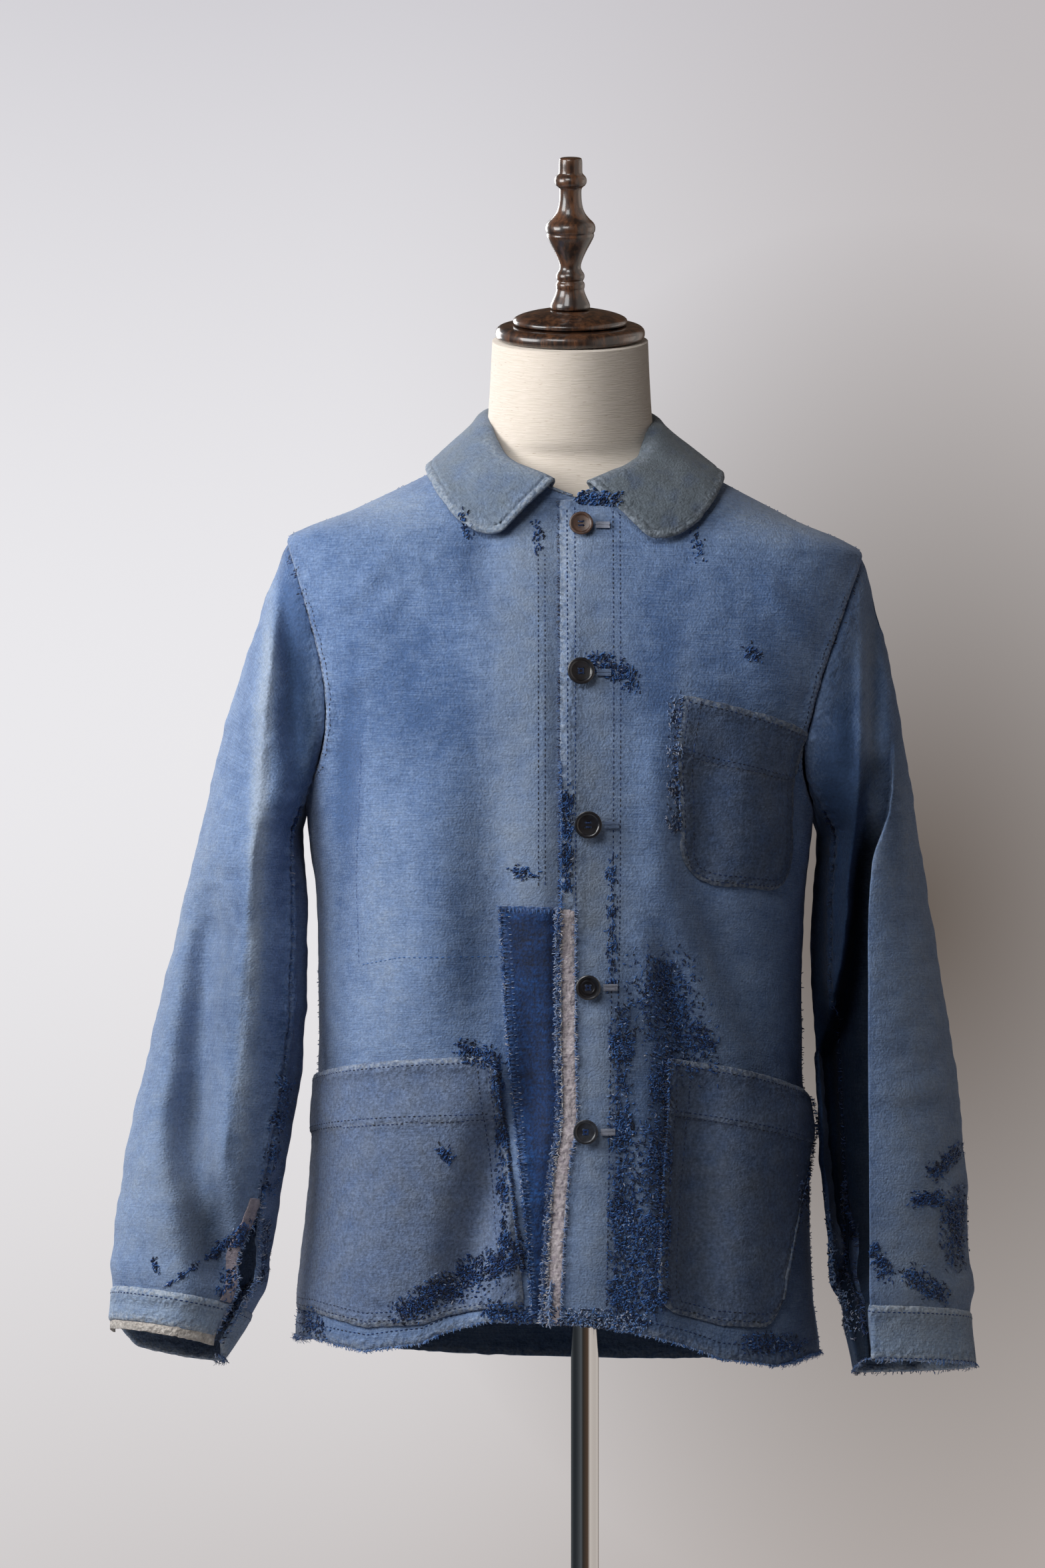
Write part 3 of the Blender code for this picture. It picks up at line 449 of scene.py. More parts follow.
TUBE = ((0, 0), (0, POLE_RADIUS), (TUBE_LONG, POLE_RADIUS), (TUBE_LONG, 0))

# Chrome plate on polished steel: nearly a mirror, with faint drawn lines along the tube.
CHROME, tree, shader = material("polished chrome plate", Base_Color="#d9d8d8", Metallic=1.0, Roughness=0.09)
place = add(tree, "TexCoord").outputs["Object"]
drawn = add(tree, "Mapping", {0: place, 3: (900, 900, 6)})
drawn = add(tree, "TexNoise", {0: drawn, 2: 1.0, 3: 2.0})
bump = add(tree, "Bump", {"Height": drawn, "Strength": 0.15, "Distance": 0.0001})
plug(tree, shader, {"Normal": bump})

# Satin enamel, sprayed on a rough casting: black, with a soft orange-peel surface 3 mm across.
ENAMEL, tree, shader = material("black satin enamel", Base_Color="#161618", Roughness=0.42)
place = add(tree, "TexCoord").outputs["Object"]
peel = add(tree, "TexNoise", {0: place, 2: 330.0, 3: 3.0})
rough = add(tree, "MapRange", {0: peel, 3: 0.34, 4: 0.5})
bump = add(tree, "Bump", {"Height": peel, "Strength": 0.4, "Distance": 0.0004})
plug(tree, shader, {"Roughness": rough, "Normal": bump})

for name, node, profile, steps, finish, slot in (
    ("stand_base", "base_plate", eased(PLATE, 1), 160, ENAMEL, "enamelled_iron"),
    ("stand_hub", "base_hub", HUB, 64, ENAMEL, "enamelled_iron"),
    ("stand_pole", "pole", TUBE, 64, CHROME, "chromed_steel"),
    ("stand_socket", "pole_socket", SOCKET, 64, CHROME, "chromed_steel"),
):
    piece = turned(name, profile, steps, Matrix.Translation((0, 0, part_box(node)[0].z)), 40)
    fit(piece, node, slot, finish)


# The back: one large panel of heavy cotton moleskin, indigo blue faded by washing. It is sewn to the
# fronts at the sides and the shoulders with flat seams, and hangs lower than they do.
CLOTH = 0.0020
HEM = 0.684
PIT = 1.080
SHOULDER = 1.2676
FRONT_NECK = 1.302
NECK = 1.341
BACK_DIP = 0.062
DIP_ENDS = 1.280
ARMHOLE_REACH = 0.085
WEAVE_GIRTH = 1.03
BODY_RADIUS = 0.2
BODY_TOP = NECK - 0.003
GRID = 0.0032
SEAM_GAP = 0.0002

BODY = table(
    "height right left front back square",
    (0.684, 0.217, 0.19, 0.13, 0.128, 2.7),
    (0.735, 0.211, 0.1845, 0.131, 0.128, 2.6),
    (0.785, 0.205, 0.182, 0.132, 0.128, 2.6),
    (0.84, 0.2015, 0.184, 0.132, 0.127, 2.6),
    (0.88, 0.198, 0.178, 0.132, 0.126, 2.6),
    (0.96, 0.199, 0.177, 0.133, 0.126, 2.6),
    (1.01, 0.2, 0.179, 0.134, 0.127, 2.6),
    (1.05, 0.206, 0.183, 0.134, 0.128, 2.6),
    (1.1, 0.211, 0.187, 0.133, 0.129, 2.6),
    (1.15, 0.216, 0.205, 0.128, 0.13, 2.7),
    (1.2, 0.2195, 0.215, 0.116, 0.126, 2.9),
    (1.24, 0.2215, 0.22, 0.101, 0.115, 3.1),
    (1.2676, 0.223, 0.223, 0.089, 0.104, 3.2),
    (1.295, 0.169, 0.169, 0.08, 0.093, 2.8),
    (1.3226, 0.1145, 0.1145, 0.075, 0.083, 2.2),
    (1.341, 0.08, 0.079, 0.073, 0.077, 2),
    (1.36, 0.074, 0.073, 0.072, 0.073, 2),
)


def fold_table(*rows):
    """Soft folds in mm, each from one end to the other, across and high: how wide it is to each side,
    how far it stands out (a trough where negative), and how far its middle bows to its left."""
    return table("x0 z0 x1 z1 width lift bow", *rows, in_mm=7)


FRONT_FOLDS = fold_table(
    (-105, 1113, -113, 873, 32, 6.5, 0),
    (-60, 1130, -65, 873, 24, -8, 0),
    (-30, 1285, -30, 930, 55, 8.5, 0),
    (-172, 1150, -180, 950, 11, -4.5, 0),
    (-45, 865, -93, 675, 18, -19, 4),
    (-123, 848, -170, 675, 36, 7, 0),
    (-34, 930, -34, 660, 15, -7, 0),
    (24, 975, 16, 665, 24, 7, 0),
    (52, 890, 62, 660, 18, 8, 0),
    (90, 880, 98, 665, 19, -11, 0),
    (105, 1120, 105, 640, 60, -8, 0),
    (132, 848, 127, 675, 36, 5.5, 0),
    (87, 1050, 175, 845, 17, -6, 10),
    (64, 1030, 140, 855, 18, 4, 10),
    (66, 965, 85, 868, 11, -4, 0),
    (47, 990, 60, 905, 11, 4, 0),
    (62, 1140, 60, 985, 16, 4.5, 0),
    (99, 1125, 97, 1000, 18, -4.5, 0),
    (130, 1125, 124, 1005, 20, 4, 0),
    (-196, 1205, -140, 1266, 7.5, 2.2, 4),
    (-194, 1178, -130, 1232, 9, 1.8, 6),
    (-192, 1150, -150, 1176, 7, 1.8, 2),
    (-185, 1120, -120, 1105, 10, 1.6, -4),
    (-68, 1285, -71, 1215, 14, -3, 0),
    (190, 1190, 140, 1245, 9, 2.5, -5),
    (186, 1150, 120, 1190, 10, 2, -4),
    (176, 1110, 110, 1160, 11, -2.2, -4),
    (-150, 1010, -110, 985, 9, -1.2, 2),
    (100, 960, 160, 940, 10, -1.5, 3),
    (-10, 1130, 30, 1120, 7, -1.2, 2),
    (-5, 1030, 30, 1015, 8, -1.6, 2),
    (-20, 900, 30, 885, 8, -1.6, -2),
    (0, 780, 45, 760, 9, -1.8, 2),
)
BACK_FOLDS = fold_table(
    (-165, 1150, -120, 700, 30, 6, -10),
    (-105, 1120, -85, 660, 26, -6, -6),
    (-30, 1080, -35, 640, 34, 6, 6),
    (30, 1060, 22, 640, 26, -5, 4),
    (85, 1100, 80, 650, 32, 5.5, 8),
    (130, 1140, 120, 700, 24, -6, 6),
    (-185, 1190, -110, 1205, 11, 2.6, 6),
    (-190, 1150, -90, 1120, 13, 2.8, -6),
    (-185, 1110, -110, 1060, 11, -2.4, -4),
    (190, 1180, 105, 1200, 12, 2.6, -6),
    (180, 1130, 95, 1090, 12, 2.8, 6),
    (-80, 1280, -20, 1262, 13, 1.8, 3),
    (75, 1275, 10, 1255, 11, 1.6, -3),
    (-120, 930, -40, 905, 14, -1.8, 3),
    (50, 900, 130, 925, 13, -2, 4),
    (-10, 800, 70, 785, 14, -1.6, 2),
)


def wear_table(*rows):
    """Where washing and wear have turned the blue paler or greyer, or left it deep, and where deep blue
    stands for painted shade: the place across and high and its reach each way, in mm, and how much of each."""
    return table("x z across high pale grey deep", *rows, in_mm=4)


FRONT_WEAR = wear_table(
    (-42, 1150, 26, 170, 0.16, 0.6, 0),
    (-20, 1010, 50, 50, 0.1, 0.35, 0),
    (10, 1100, 22, 240, 0.05, 0.55, 0),
    (12, 800, 30, 150, 0.1, 0.45, 0),
    (-120, 1200, 60, 80, 0, 0, 0.3),
    (-80, 1285, 20, 40, 0, 0, 0.45),
    (-100, 1060, 45, 110, 0.05, 0, 0.25),
    (-160, 1300, 60, 20, 0.4, 0.2, 0),
    (160, 1290, 60, 24, 0.35, 0.2, 0),
    (70, 1180, 14, 120, 0, 0, 0.55),
    # Painted shadow of the right sleeve on the front beside it, as deep blue.
    (-173, 1060, 11, 110, 0, 0, 0.9),
    (140, 1220, 50, 60, 0, 0, 0.35),
    (82, 1100, 8, 70, 0.3, 0.3, 0),
    (-150, 960, 40, 80, 0.2, 0.2, 0),
    (110, 960, 50, 60, 0.05, 0.2, 0.15),
    (-120, 780, 60, 80, 0, 0.45, 0),
    (120, 770, 60, 80, 0, 0.5, 0),
    (-20, 1260, 30, 30, 0.2, 0.2, 0),
    # The next five deep rows darken the cloth under the darns: unfaded blue, and painted shade between their
    # threads.
    (72, 908, 14, 34, 0, 0, 1.3),
    (33, 800, 8, 100, 0, 0, 1.1),
    (60, 790, 8, 90, 0, 0, 1.3),
    (-9, 1045, 5, 50, 0, 0, 0.9),
    (-58, 800, 6, 90, 0, 0, 1.1),
    (-15, 660, 200, 16, 0, 0.2, 0.3),
)
BACK_WEAR = wear_table(
    (-100, 1240, 90, 50, 0.35, 0.1, 0),
    (110, 1230, 80, 60, 0.35, 0.1, 0),
    (0, 1100, 140, 120, 0.05, 0.1, 0.2),
    (-60, 760, 120, 70, 0.15, 0.45, 0),
    (90, 820, 60, 120, 0.1, 0.3, 0),
    (0, 960, 160, 60, 0, 0, 0.3),
)


# How much lower the fronts' hem hangs beside its middle, by the turn round the body
HEM_DROP = table(
    "turn drop",
    (-0.3, 0),
    (-0.25, 0.002),
    (-0.176, 0.01),
    (-0.115, 0.024),
    (-0.072, 0.02),
    (-0.057, 0.012),
    (-0.034, 0.004),
    (0, 0.005),
    (0.02, 0.009),
    (0.054, 0.018),
    (0.08, 0.026),
    (0.134, 0.026),
    (0.19, 0.012),
    (0.25, 0.004),
    (0.3, 0),
)
DROP_REACH = 0.160


def dip(turn, height):
    """How far the cloth hangs below its level, more towards the back and the hem."""
    grow = np.clip((DIP_ENDS - height) / (DIP_ENDS - HEM), 0, 1)
    near_hem = np.clip(1 - (height - HEM) / DROP_REACH, 0, 1) ** 2
    drop = np.interp((np.asarray(turn) + 0.5) % 1 - 0.5, HEM_DROP["turn"], HEM_DROP["drop"])
    return BACK_DIP * grow * (1 - np.cos(2 * pi * turn)) / 2 + near_hem * drop


def body(turn, height):
    """The form that the back and fronts are cut from: turn runs round the chest from centre front,
    with 0.25 at the left side, and height is the level of the cloth before it dips to the back."""
    turn, height = np.broadcast_arrays(turn, height)
    bow = 2 / smooth(BODY, "square", height)
    side = power(np.sin(2 * pi * turn), bow)
    ahead = power(np.cos(2 * pi * turn), bow)
    x = side * np.where(side > 0, smooth(BODY, "left", height), smooth(BODY, "right", height))
    y = -ahead * np.where(ahead > 0, smooth(BODY, "front", height), smooth(BODY, "back", height))
    return np.stack([x + LEAN, y, height - dip(turn, height) - SIDE_SLOPE * x], -1)


def unit(vectors):
    return vectors / np.maximum(np.linalg.norm(vectors, axis=-1, keepdims=True), 1e-9)


def ease(value):
    """A smooth step from 0 to 1."""
    value = np.clip(value, 0, 1)
    return value * value * (3 - 2 * value)


def mound(distance, width):
    """1 at no distance, fading smoothly to nothing over about two widths."""
    return np.exp(-((distance / width) ** 2))


def smudge(aside, across, above, high):
    """1 at a spot's middle, fading over its reach across and high."""
    return np.exp(-((aside / across) ** 2) - (above / high) ** 2)


def folded(folds, x, z):
    """How far a table of folds moves the cloth out at a place across and high."""
    total = np.zeros(np.shape(x))
    for x0, z0, x1, z1, width, lift, bow in zip(*folds.values()):
        run, rise = x1 - x0, z1 - z0
        length = np.hypot(run, rise)
        along = ((x - x0) * run + (z - z0) * rise) / length**2
        inside = np.clip(along, 0, 1)
        beside = ((x - x0) * rise - (z - z0) * run) / length - bow * 4 * inside * (1 - inside)
        ends = ease((1.2 - np.abs(along - 0.5) * 2) / 0.8)
        total += lift * ends * mound(beside, width)
    return total


def worn(marks, x, z):
    """How pale, grey and deep blue a table of marks leaves the cloth at a place."""
    total = np.zeros((*np.shape(x), 3))
    for at_x, at_z, across, high, *amounts in zip(*marks.values()):
        share = smudge(x - at_x, across, z - at_z, high)
        total += share[..., None] * np.array(amounts)
    return total


def crumple(points, size, seed=0.0):
    """Smooth unevenness about so many metres across, from -1 to 1."""
    flat = (points / size + seed).reshape(-1, 3)
    return np.array([noise.noise(p) for p in flat]).reshape(points.shape[:-1])


def line_distance(points, *lines):
    """Each point's distance to the nearest point of finely divided lines, or very far with none."""
    nearest = np.full(points.shape[:-1], 1e9)
    for line in lines:
        for p in line:
            nearest = np.minimum(nearest, ((points - p) ** 2).sum(-1))
    return np.sqrt(nearest)


def armhole(side, around):
    """Turn and height of the armhole's edge: 0 at the shoulder, 0.25 in front, 0.5 at the pit."""
    level = np.cos(2 * pi * around)
    reach = ARMHOLE_REACH * np.sin(2 * pi * around) * (1 - 0.25 * level)
    return side * (0.25 - reach), (SHOULDER + PIT) / 2 + level * (SHOULDER - PIT) / 2


ARMHOLES = {side: body(*armhole(side, np.linspace(0, 1, 260))) for side in (-1, 1)}


def body_facing(turn, height):
    """Unit vectors straight out of the unfolded body."""
    round_it = body(turn + 0.003, height) - body(turn - 0.003, height)
    up_it = body(turn, height + 0.003) - body(turn, height - 0.003)
    return unit(np.cross(round_it, up_it))


def in_front(turn):
    """1 on the front of the body and 0 behind, easing over at the sides."""
    return ease((np.cos(2 * pi * turn) + 0.25) / 0.5)


def hang(turn, height):
    """How far folds and seams move the body's cloth out."""
    place = body(turn, height)
    x, z = place[..., 0] - LEAN, place[..., 2]
    ahead = in_front(turn)
    out = folded(FRONT_FOLDS, x, z) * ahead + folded(BACK_FOLDS, x, z) * (1 - ahead)
    soft = ease((1.31 - z) / 0.06)
    out = out + 0.0014 * crumple(place, 0.055) * soft
    out = out + 0.0005 * crumple(place * (0.5, 0.5, 1.5), 0.013, 5.0) * soft
    for line in ARMHOLES.values():
        near = line_distance(place, line)
        out = out * (0.25 + 0.75 * ease(near / 0.03))
        out = out + 0.0011 * mound(near - 0.0055, 0.0045) - 0.0012 * mound(near, 0.0018)
    out = out * ease((1.345 - z) / 0.035)
    seam = np.abs(np.abs(turn - np.round(turn)) - 0.25) * 2 * pi * BODY_RADIUS
    flat = ease((PIT - height) / 0.01) + ease((height - SHOULDER) / 0.006)
    return out + flat * (0.0010 * mound(seam - 0.005, 0.004) - 0.0012 * mound(seam, 0.0015))


def body_cloth(turn, height, out=0.0):
    """Points of the hanging body cloth, moved out by a distance."""
    turn, height = np.broadcast_arrays(turn, height)
    return body(turn, height) + body_facing(turn, height) * (hang(turn, height) + out)[..., None]


def spread(start, end, count):
    """A grid of evenly spaced values from a column of starts to a column of ends."""
    step = np.linspace(0, 1, count)
    return np.asarray(start)[:, None] * (1 - step) + np.asarray(end)[:, None] * step


def armhole_reach(height):
    """How far the armhole cuts into the front and the back from the side, as a turn."""
    middle, half = (SHOULDER + PIT) / 2, (SHOULDER - PIT) / 2
    level = np.clip((height - middle) / half, -1, 1)
    reach = ARMHOLE_REACH * np.sqrt(1 - level**2) * (1 - 0.25 * level)
    return np.where(height < PIT, 0, reach)


def body_heights():
    """Levels of a body panel's rows: even to the pit, crowded at the armhole's ends, then the shoulder."""
    middle, half = (SHOULDER + PIT) / 2, (SHOULDER - PIT) / 2
    lengths = PIT - HEM, (SHOULDER - PIT) * 1.25, (BODY_TOP - SHOULDER) * 1.4
    rows = [int(round(length / GRID)) for length in lengths]
    below = np.linspace(HEM, PIT, rows[0])
    arm = middle - half * np.cos(np.linspace(0, pi, rows[1]))
    above = np.linspace(SHOULDER, BODY_TOP, rows[2])
    return np.concatenate([below, arm[1:], above[1:]])


def border(rows, columns):
    """The indices round a grid's edge, anticlockwise as seen from outside."""
    index = np.arange(rows * columns).reshape(rows, columns)
    return np.concatenate([index[0, :-1], index[:-1, -1], index[-1, :0:-1], index[:0:-1, 0]])


def sew(name, face, thick, flat, marks, finish, frayed=0.0):
    """A cloth piece as a closed wall behind a grid of points, with rounded and perhaps frayed edges.

    Rows and columns run so that the cloth's outside is seen with the columns going to the right."""
    rows, columns = face.shape[:2]
    facing = unit(np.cross(np.gradient(face, axis=1), np.gradient(face, axis=0)))
    rim = border(rows, columns)
    outer, square = face.reshape(-1, 3).copy(), facing.reshape(-1, 3)
    ahead = unit(np.roll(outer[rim], -1, 0) - np.roll(outer[rim], 1, 0))
    away = unit(np.cross(ahead, square[rim]))
    if frayed:
        ragged = crumple(outer[rim], 0.0035, 5.0) + 0.8 * crumple(outer[rim], 0.009, 9.0)
        outer[rim] += away * (ragged * frayed)[:, None]
        outer[rim] += square[rim] * (crumple(outer[rim], 0.004, 2.0) * frayed * 0.5)[:, None]
    inner = outer - square * thick
    middle = (outer[rim] + inner[rim]) / 2 + away * thick * 0.4
    outer[rim] -= square[rim] * thick * 0.15
    count = rows * columns
    quads = []
    index = np.arange(count).reshape(rows, columns)
    low, right, high, left = index[:-1, :-1], index[:-1, 1:], index[1:, 1:], index[1:, :-1]
    quads.append(np.stack([low, right, high, left], -1).reshape(-1, 4))
    quads.append(np.stack([low, left, high, right], -1).reshape(-1, 4) + count)
    mid = np.arange(len(rim)) + 2 * count
    following = np.roll(np.arange(len(rim)), -1)
    quads.append(np.stack([rim, mid, mid[following], rim[following]], -1))
    quads.append(np.stack([mid, rim + count, rim[following] + count, mid[following]], -1))
    points = np.concatenate([outer, inner, middle])
    made = mesh_object(name, points.tolist(), np.concatenate(quads).tolist())
    flat = flat.reshape(-1, 2)
    marks = {key: value.reshape(-1, 3) for key, value in marks.items()}
    inside = marks.pop("inside", marks["edge"])
    edges = np.concatenate([marks["edge"], inside, marks["edge"][rim]])
    wear = np.concatenate([marks["wear"], marks["wear"], marks["wear"][rim]])
    set_attributes(made.data, np.concatenate([flat, flat, flat[rim]]), {"wear": wear, "edge": edges})
    made.data.shade_smooth()
    made.data.materials.append(finish)
    return made


def lay(piece, node, slot):
    """Sets a sewn piece on the root body and hides the node of the CAD model that it stands for."""
    fit(piece, node, slot)


def body_marks(turn, place, *seams):
    """Wear on the body's cloth, how rubbed and puckered it is beside its seams and edges, and how
    little light reaches it, outside and inside."""
    x, z = place[..., 0] - LEAN, place[..., 2]
    ahead = in_front(turn)
    wear = worn(FRONT_WEAR, x, z) * ahead[..., None] + worn(BACK_WEAR, x, z) * (1 - ahead[..., None])
    near = line_distance(place, *ARMHOLES.values(), *seams)
    rub = 0.75 * mound(near - 0.0015, 0.0028)
    pucker = mound(near - 0.006, 0.007)
    # Painted shade: the back darker inside near its hem; the front darker towards the wearer's left and the
    # hem, and in one fold's trough.
    under = 0.85 * (1 - ahead) * ease((0.70 - z) / 0.03)
    shade = 0.32 * ahead * ease((x + 0.03) / 0.12) * ease((1.04 - z) / 0.2)
    shade = shade + 0.26 * ahead * smudge(x + 0.083, 0.022, z - 0.98, 0.13)
    inside = np.stack([rub, pucker, np.maximum(under, shade)], -1)
    return {"wear": wear, "edge": np.stack([rub, pucker, shade], -1), "inside": inside}


def weave_flat(turn, height):
    return np.stack(np.broadcast_arrays(turn * WEAVE_GIRTH, height), -1)


# Moleskin: a dense satin-woven cotton with a short brushed nap, so matt that its folds look soft. Its
# weft lies 0.4 mm apart and is drawn 0.9 mm apart; wear shows as pale streaks along the weft.
NAP_PATTERNS = ((620.0, 3.0), (420.0, 3.0), (360.0, 3.0), (190.0, 1.0), (70.0, 4.0), (13.0, 4.0))
WEFT = 0.0009
STREAK_LONG = 0.016
WARP, WARP_LONG = 0.0016, 0.020


def moleskin(name, deep, blue, pale, grey, rubbed, weft=WEFT, grain=0.17):
    made, tree, shader = material(name, Roughness=0.92, Sheen_Roughness=0.6)
    cut = add(tree, "UVMap", uv_map="cut")
    place = add(tree, "TexCoord").outputs["Object"]
    wear, edge = (add(tree, "Attribute", attribute_name=mark) for mark in ("wear", "edge"))
    paler, greyer, deeper = add(tree, "SeparateXYZ", {0: wear.outputs[1]}).outputs
    rubbed_share, puckered, unlit_share = add(tree, "SeparateXYZ", {0: edge.outputs[1]}).outputs
    along = add(tree, "Mapping", {0: cut, 3: (1 / STREAK_LONG, 1 / weft, 1)})
    streak = add(tree, "TexNoise", {0: along, 2: 1.0, 3: 2.0})
    upward = add(tree, "Mapping", {0: cut, 3: (1 / WARP, 1 / WARP_LONG, 1)})
    warp = add(tree, "TexNoise", {0: upward, 2: 1.0, 3: 2.0})
    nap, pile, fuzz, ripple, blotch, cloud = (
        add(tree, "TexNoise", {0: place, 2: scale, 3: detail}) for scale, detail in NAP_PATTERNS
    )
    level = 0.30
    for source, amount in ((streak, 0.70), (warp, 0.25), (nap, 0.55), (cloud, 0.70), (blotch, 0.50)):
        centred = add(tree, "Math", {0: source, 1: 0.5}, operation="SUBTRACT")
        level = add(tree, "Math", {0: centred, 1: amount, 2: level}, operation="MULTIPLY_ADD")
    level = add(tree, "Math", {0: level, 1: paler}, operation="ADD")
    level = add(tree, "Math", {0: deeper, 1: -0.5, 2: level}, operation="MULTIPLY_ADD")
    lower = add(tree, "MapRange", {0: level, 1: 0.0, 2: 0.42})
    upper = add(tree, "MapRange", {0: level, 1: 0.42, 2: 1.0})
    colour = add(tree, "Mix", {0: lower, 6: deep, 7: blue}, data_type="RGBA")
    colour = add(tree, "Mix", {0: upper, 6: colour, 7: pale}, data_type="RGBA")
    soiled = add(tree, "Math", {0: blotch, 1: greyer}, operation="MULTIPLY")
    soiled = add(tree, "Math", {0: soiled, 1: 1.9}, operation="MULTIPLY", use_clamp=True)
    colour = add(tree, "Mix", {0: soiled, 6: colour, 7: grey}, data_type="RGBA")
    fuzz = add(tree, "MapRange", {0: fuzz, 1: 0.38, 2: 0.6})
    rub = add(tree, "Math", {0: fuzz, 1: rubbed_share}, operation="MULTIPLY")
    colour = add(tree, "Mix", {0: rub, 6: colour, 7: rubbed}, data_type="RGBA")
    value = add(tree, "MapRange", {0: pile, 1: 0.3, 2: 0.7, 3: 1 - grain, 4: 1 + grain})
    # Painted shade: the edge mark's third value darkens the colour and lowers the sheen and specular level.
    unlit = add(tree, "MapRange", {0: unlit_share, 3: 1.0, 4: 0.12})
    value = add(tree, "Math", {0: value, 1: unlit}, operation="MULTIPLY")
    colour = add(tree, "HueSaturation", {"Value": value, "Color": colour})
    for socket, most in (("Sheen Weight", 0.18), ("Specular IOR Level", 0.5)):
        shine = add(tree, "MapRange", {0: unlit_share, 2: 0.8, 3: most, 4: 0.02})
        plug(tree, shader, {socket: shine})
    ripple = add(tree, "Math", {0: ripple, 1: puckered}, operation="MULTIPLY")
    height = add(tree, "Math", {0: streak, 1: 0.30, 2: nap}, operation="MULTIPLY_ADD")
    height = add(tree, "Math", {0: ripple, 1: 3.2, 2: height}, operation="MULTIPLY_ADD")
    height = add(tree, "Math", {0: blotch, 1: 1.6, 2: height}, operation="MULTIPLY_ADD")
    bump = add(tree, "Bump", {"Height": height, "Strength": 0.9, "Distance": 0.0010})
    plug(tree, shader, {"Base Color": colour, "Normal": bump})
    return made


MOLESKIN = moleskin("washed blue moleskin", "#466493", "#7690b9", "#a3b3ca", "#7e8ca0", "#a9b5c6")


def side_edge(height, sign=-1):
    """Turn of a panel's edge at the side seam, the armhole and the shoulder seam."""
    return 0.25 + sign * (armhole_reach(height) + SEAM_GAP)


heights = body_heights()
columns = int(0.50 / (GRID * 1.15))
turns = spread(side_edge(heights, 1), 1 - side_edge(heights, 1), columns)
levels = np.repeat(heights[:, None], columns, 1)
back_face = body_cloth(turns, levels)
back_marks = body_marks(turns, back_face, back_face[0])
back = sew("jacket_back", back_face, CLOTH, weave_flat(turns, levels), back_marks, MOLESKIN, 0.0006)
lay(back, "back", "moleskin")


# The fronts: two panels that lap down the middle. The left one lies on top with its worn edge to the
# right, and each has a facing sewn inside it, which the rows of stitching hold.
LAP_DEPTH = 0.0036
LAP_EDGE = table(
    "height across",
    (0.684, -0.0225),
    (0.736, -0.02),
    (0.794, -0.016),
    (0.836, -0.01),
    (0.9, -0.011),
    (1.305, -0.0115),
)
UNDER_LAP = 0.026


def turn_at(height, across):
    """Turn of the front's points that lie so far across at a height."""
    reach = np.where(across > 0, smooth(BODY, "left", height), smooth(BODY, "right", height))
    ratio = np.minimum(np.abs(across) / reach, 0.9995)
    return np.sign(across) * np.arcsin(ratio ** (smooth(BODY, "square", height) / 2)) / (2 * pi)


def lap_turn(height, extra=0.0):
    """Turn of the left front's lapped edge, or of a line a little across from it."""
    return turn_at(height, smooth(LAP_EDGE, "across", height) + extra)


def lap_line_at(heights, across, out):
    """A line beside the lapped edge, so far across from it and so far out from the cloth."""
    return body_cloth(lap_turn(heights, across), heights, out)


def locate(across, high):
    """Turn and height of the front's points that are seen so far across and so high."""
    across, high = np.broadcast_arrays(np.asarray(across, float), np.asarray(high, float))
    height = high.copy()
    for _ in range(4):
        turn = turn_at(height, across)
        height = high + dip(turn, height) + SIDE_SLOPE * across
    return turn, height


def tuck(turn, height):
    """How far the right front lies under the left one near the lapped edge."""
    before = (body(turn, height)[..., 0] - LEAN - smooth(LAP_EDGE, "across", height) + 0.012) / 0.010
    return LAP_DEPTH * ease(before)


def neck_turn(height):
    """Turn at which the front neckline crosses a height."""
    return 0.2 * np.clip((height - FRONT_NECK) / (NECK - FRONT_NECK), 0, 1) ** 1.667


heights = body_heights()
columns = int(0.26 / GRID)
levels = np.repeat(heights[:, None], columns, 1)
past = heights > FRONT_NECK
lap_line = lap_line_at(np.linspace(HEM, FRONT_NECK, 300), 0, 0)
for word in ("right", "left"):
    if word == "right":
        inner = np.where(past, -neck_turn(heights), lap_turn(heights, UNDER_LAP))
        turns = spread(-side_edge(heights), inner, columns)
        face = body_cloth(turns, levels, -np.where(levels > FRONT_NECK, 0, tuck(turns, levels)))
        seams = [face[0]]
    else:
        inner = np.where(past, neck_turn(heights), lap_turn(heights))
        turns = spread(inner, side_edge(heights), columns)
        face = body_cloth(turns, levels)
        seams = [face[0], lap_line]
    marks = body_marks(turns, face, *seams)
    piece = sew(f"jacket_front_{word}", face, CLOTH, weave_flat(turns, levels), marks, MOLESKIN, 0.0007)
    lay(piece, f"front_{word}", "moleskin")


# The sleeves: a top and an under piece each, cut from one tube. It leaves the armhole full, hangs
# with a pressed crease in front, and opens in a vent above the cuff.
RIGHT_SLEEVE = table(
    "height outside inside crease front back slope",
    (0.653, 0.356, 0.268, 0.305, -0.126, -0.04, 0.24),
    (0.688, 0.352, 0.245, 0.295, -0.125, -0.02, 0.24),
    (0.7586, 0.3532, 0.229, 0.275, -0.122, 0.018, 0.21),
    (0.7987, 0.3456, 0.2215, 0.264, -0.118, 0.036, 0.18),
    (0.8275, 0.3414, 0.217, 0.259, -0.114, 0.048, 0.15),
    (0.875, 0.331, 0.2105, 0.252, -0.106, 0.064, 0.1),
    (0.942, 0.3166, 0.208, 0.247, -0.096, 0.078, 0.05),
    (0.999, 0.3027, 0.208, 0.2455, -0.09, 0.085, 0.02),
    (1.045, 0.2925, 0.2125, 0.245, -0.088, 0.088, 0),
)
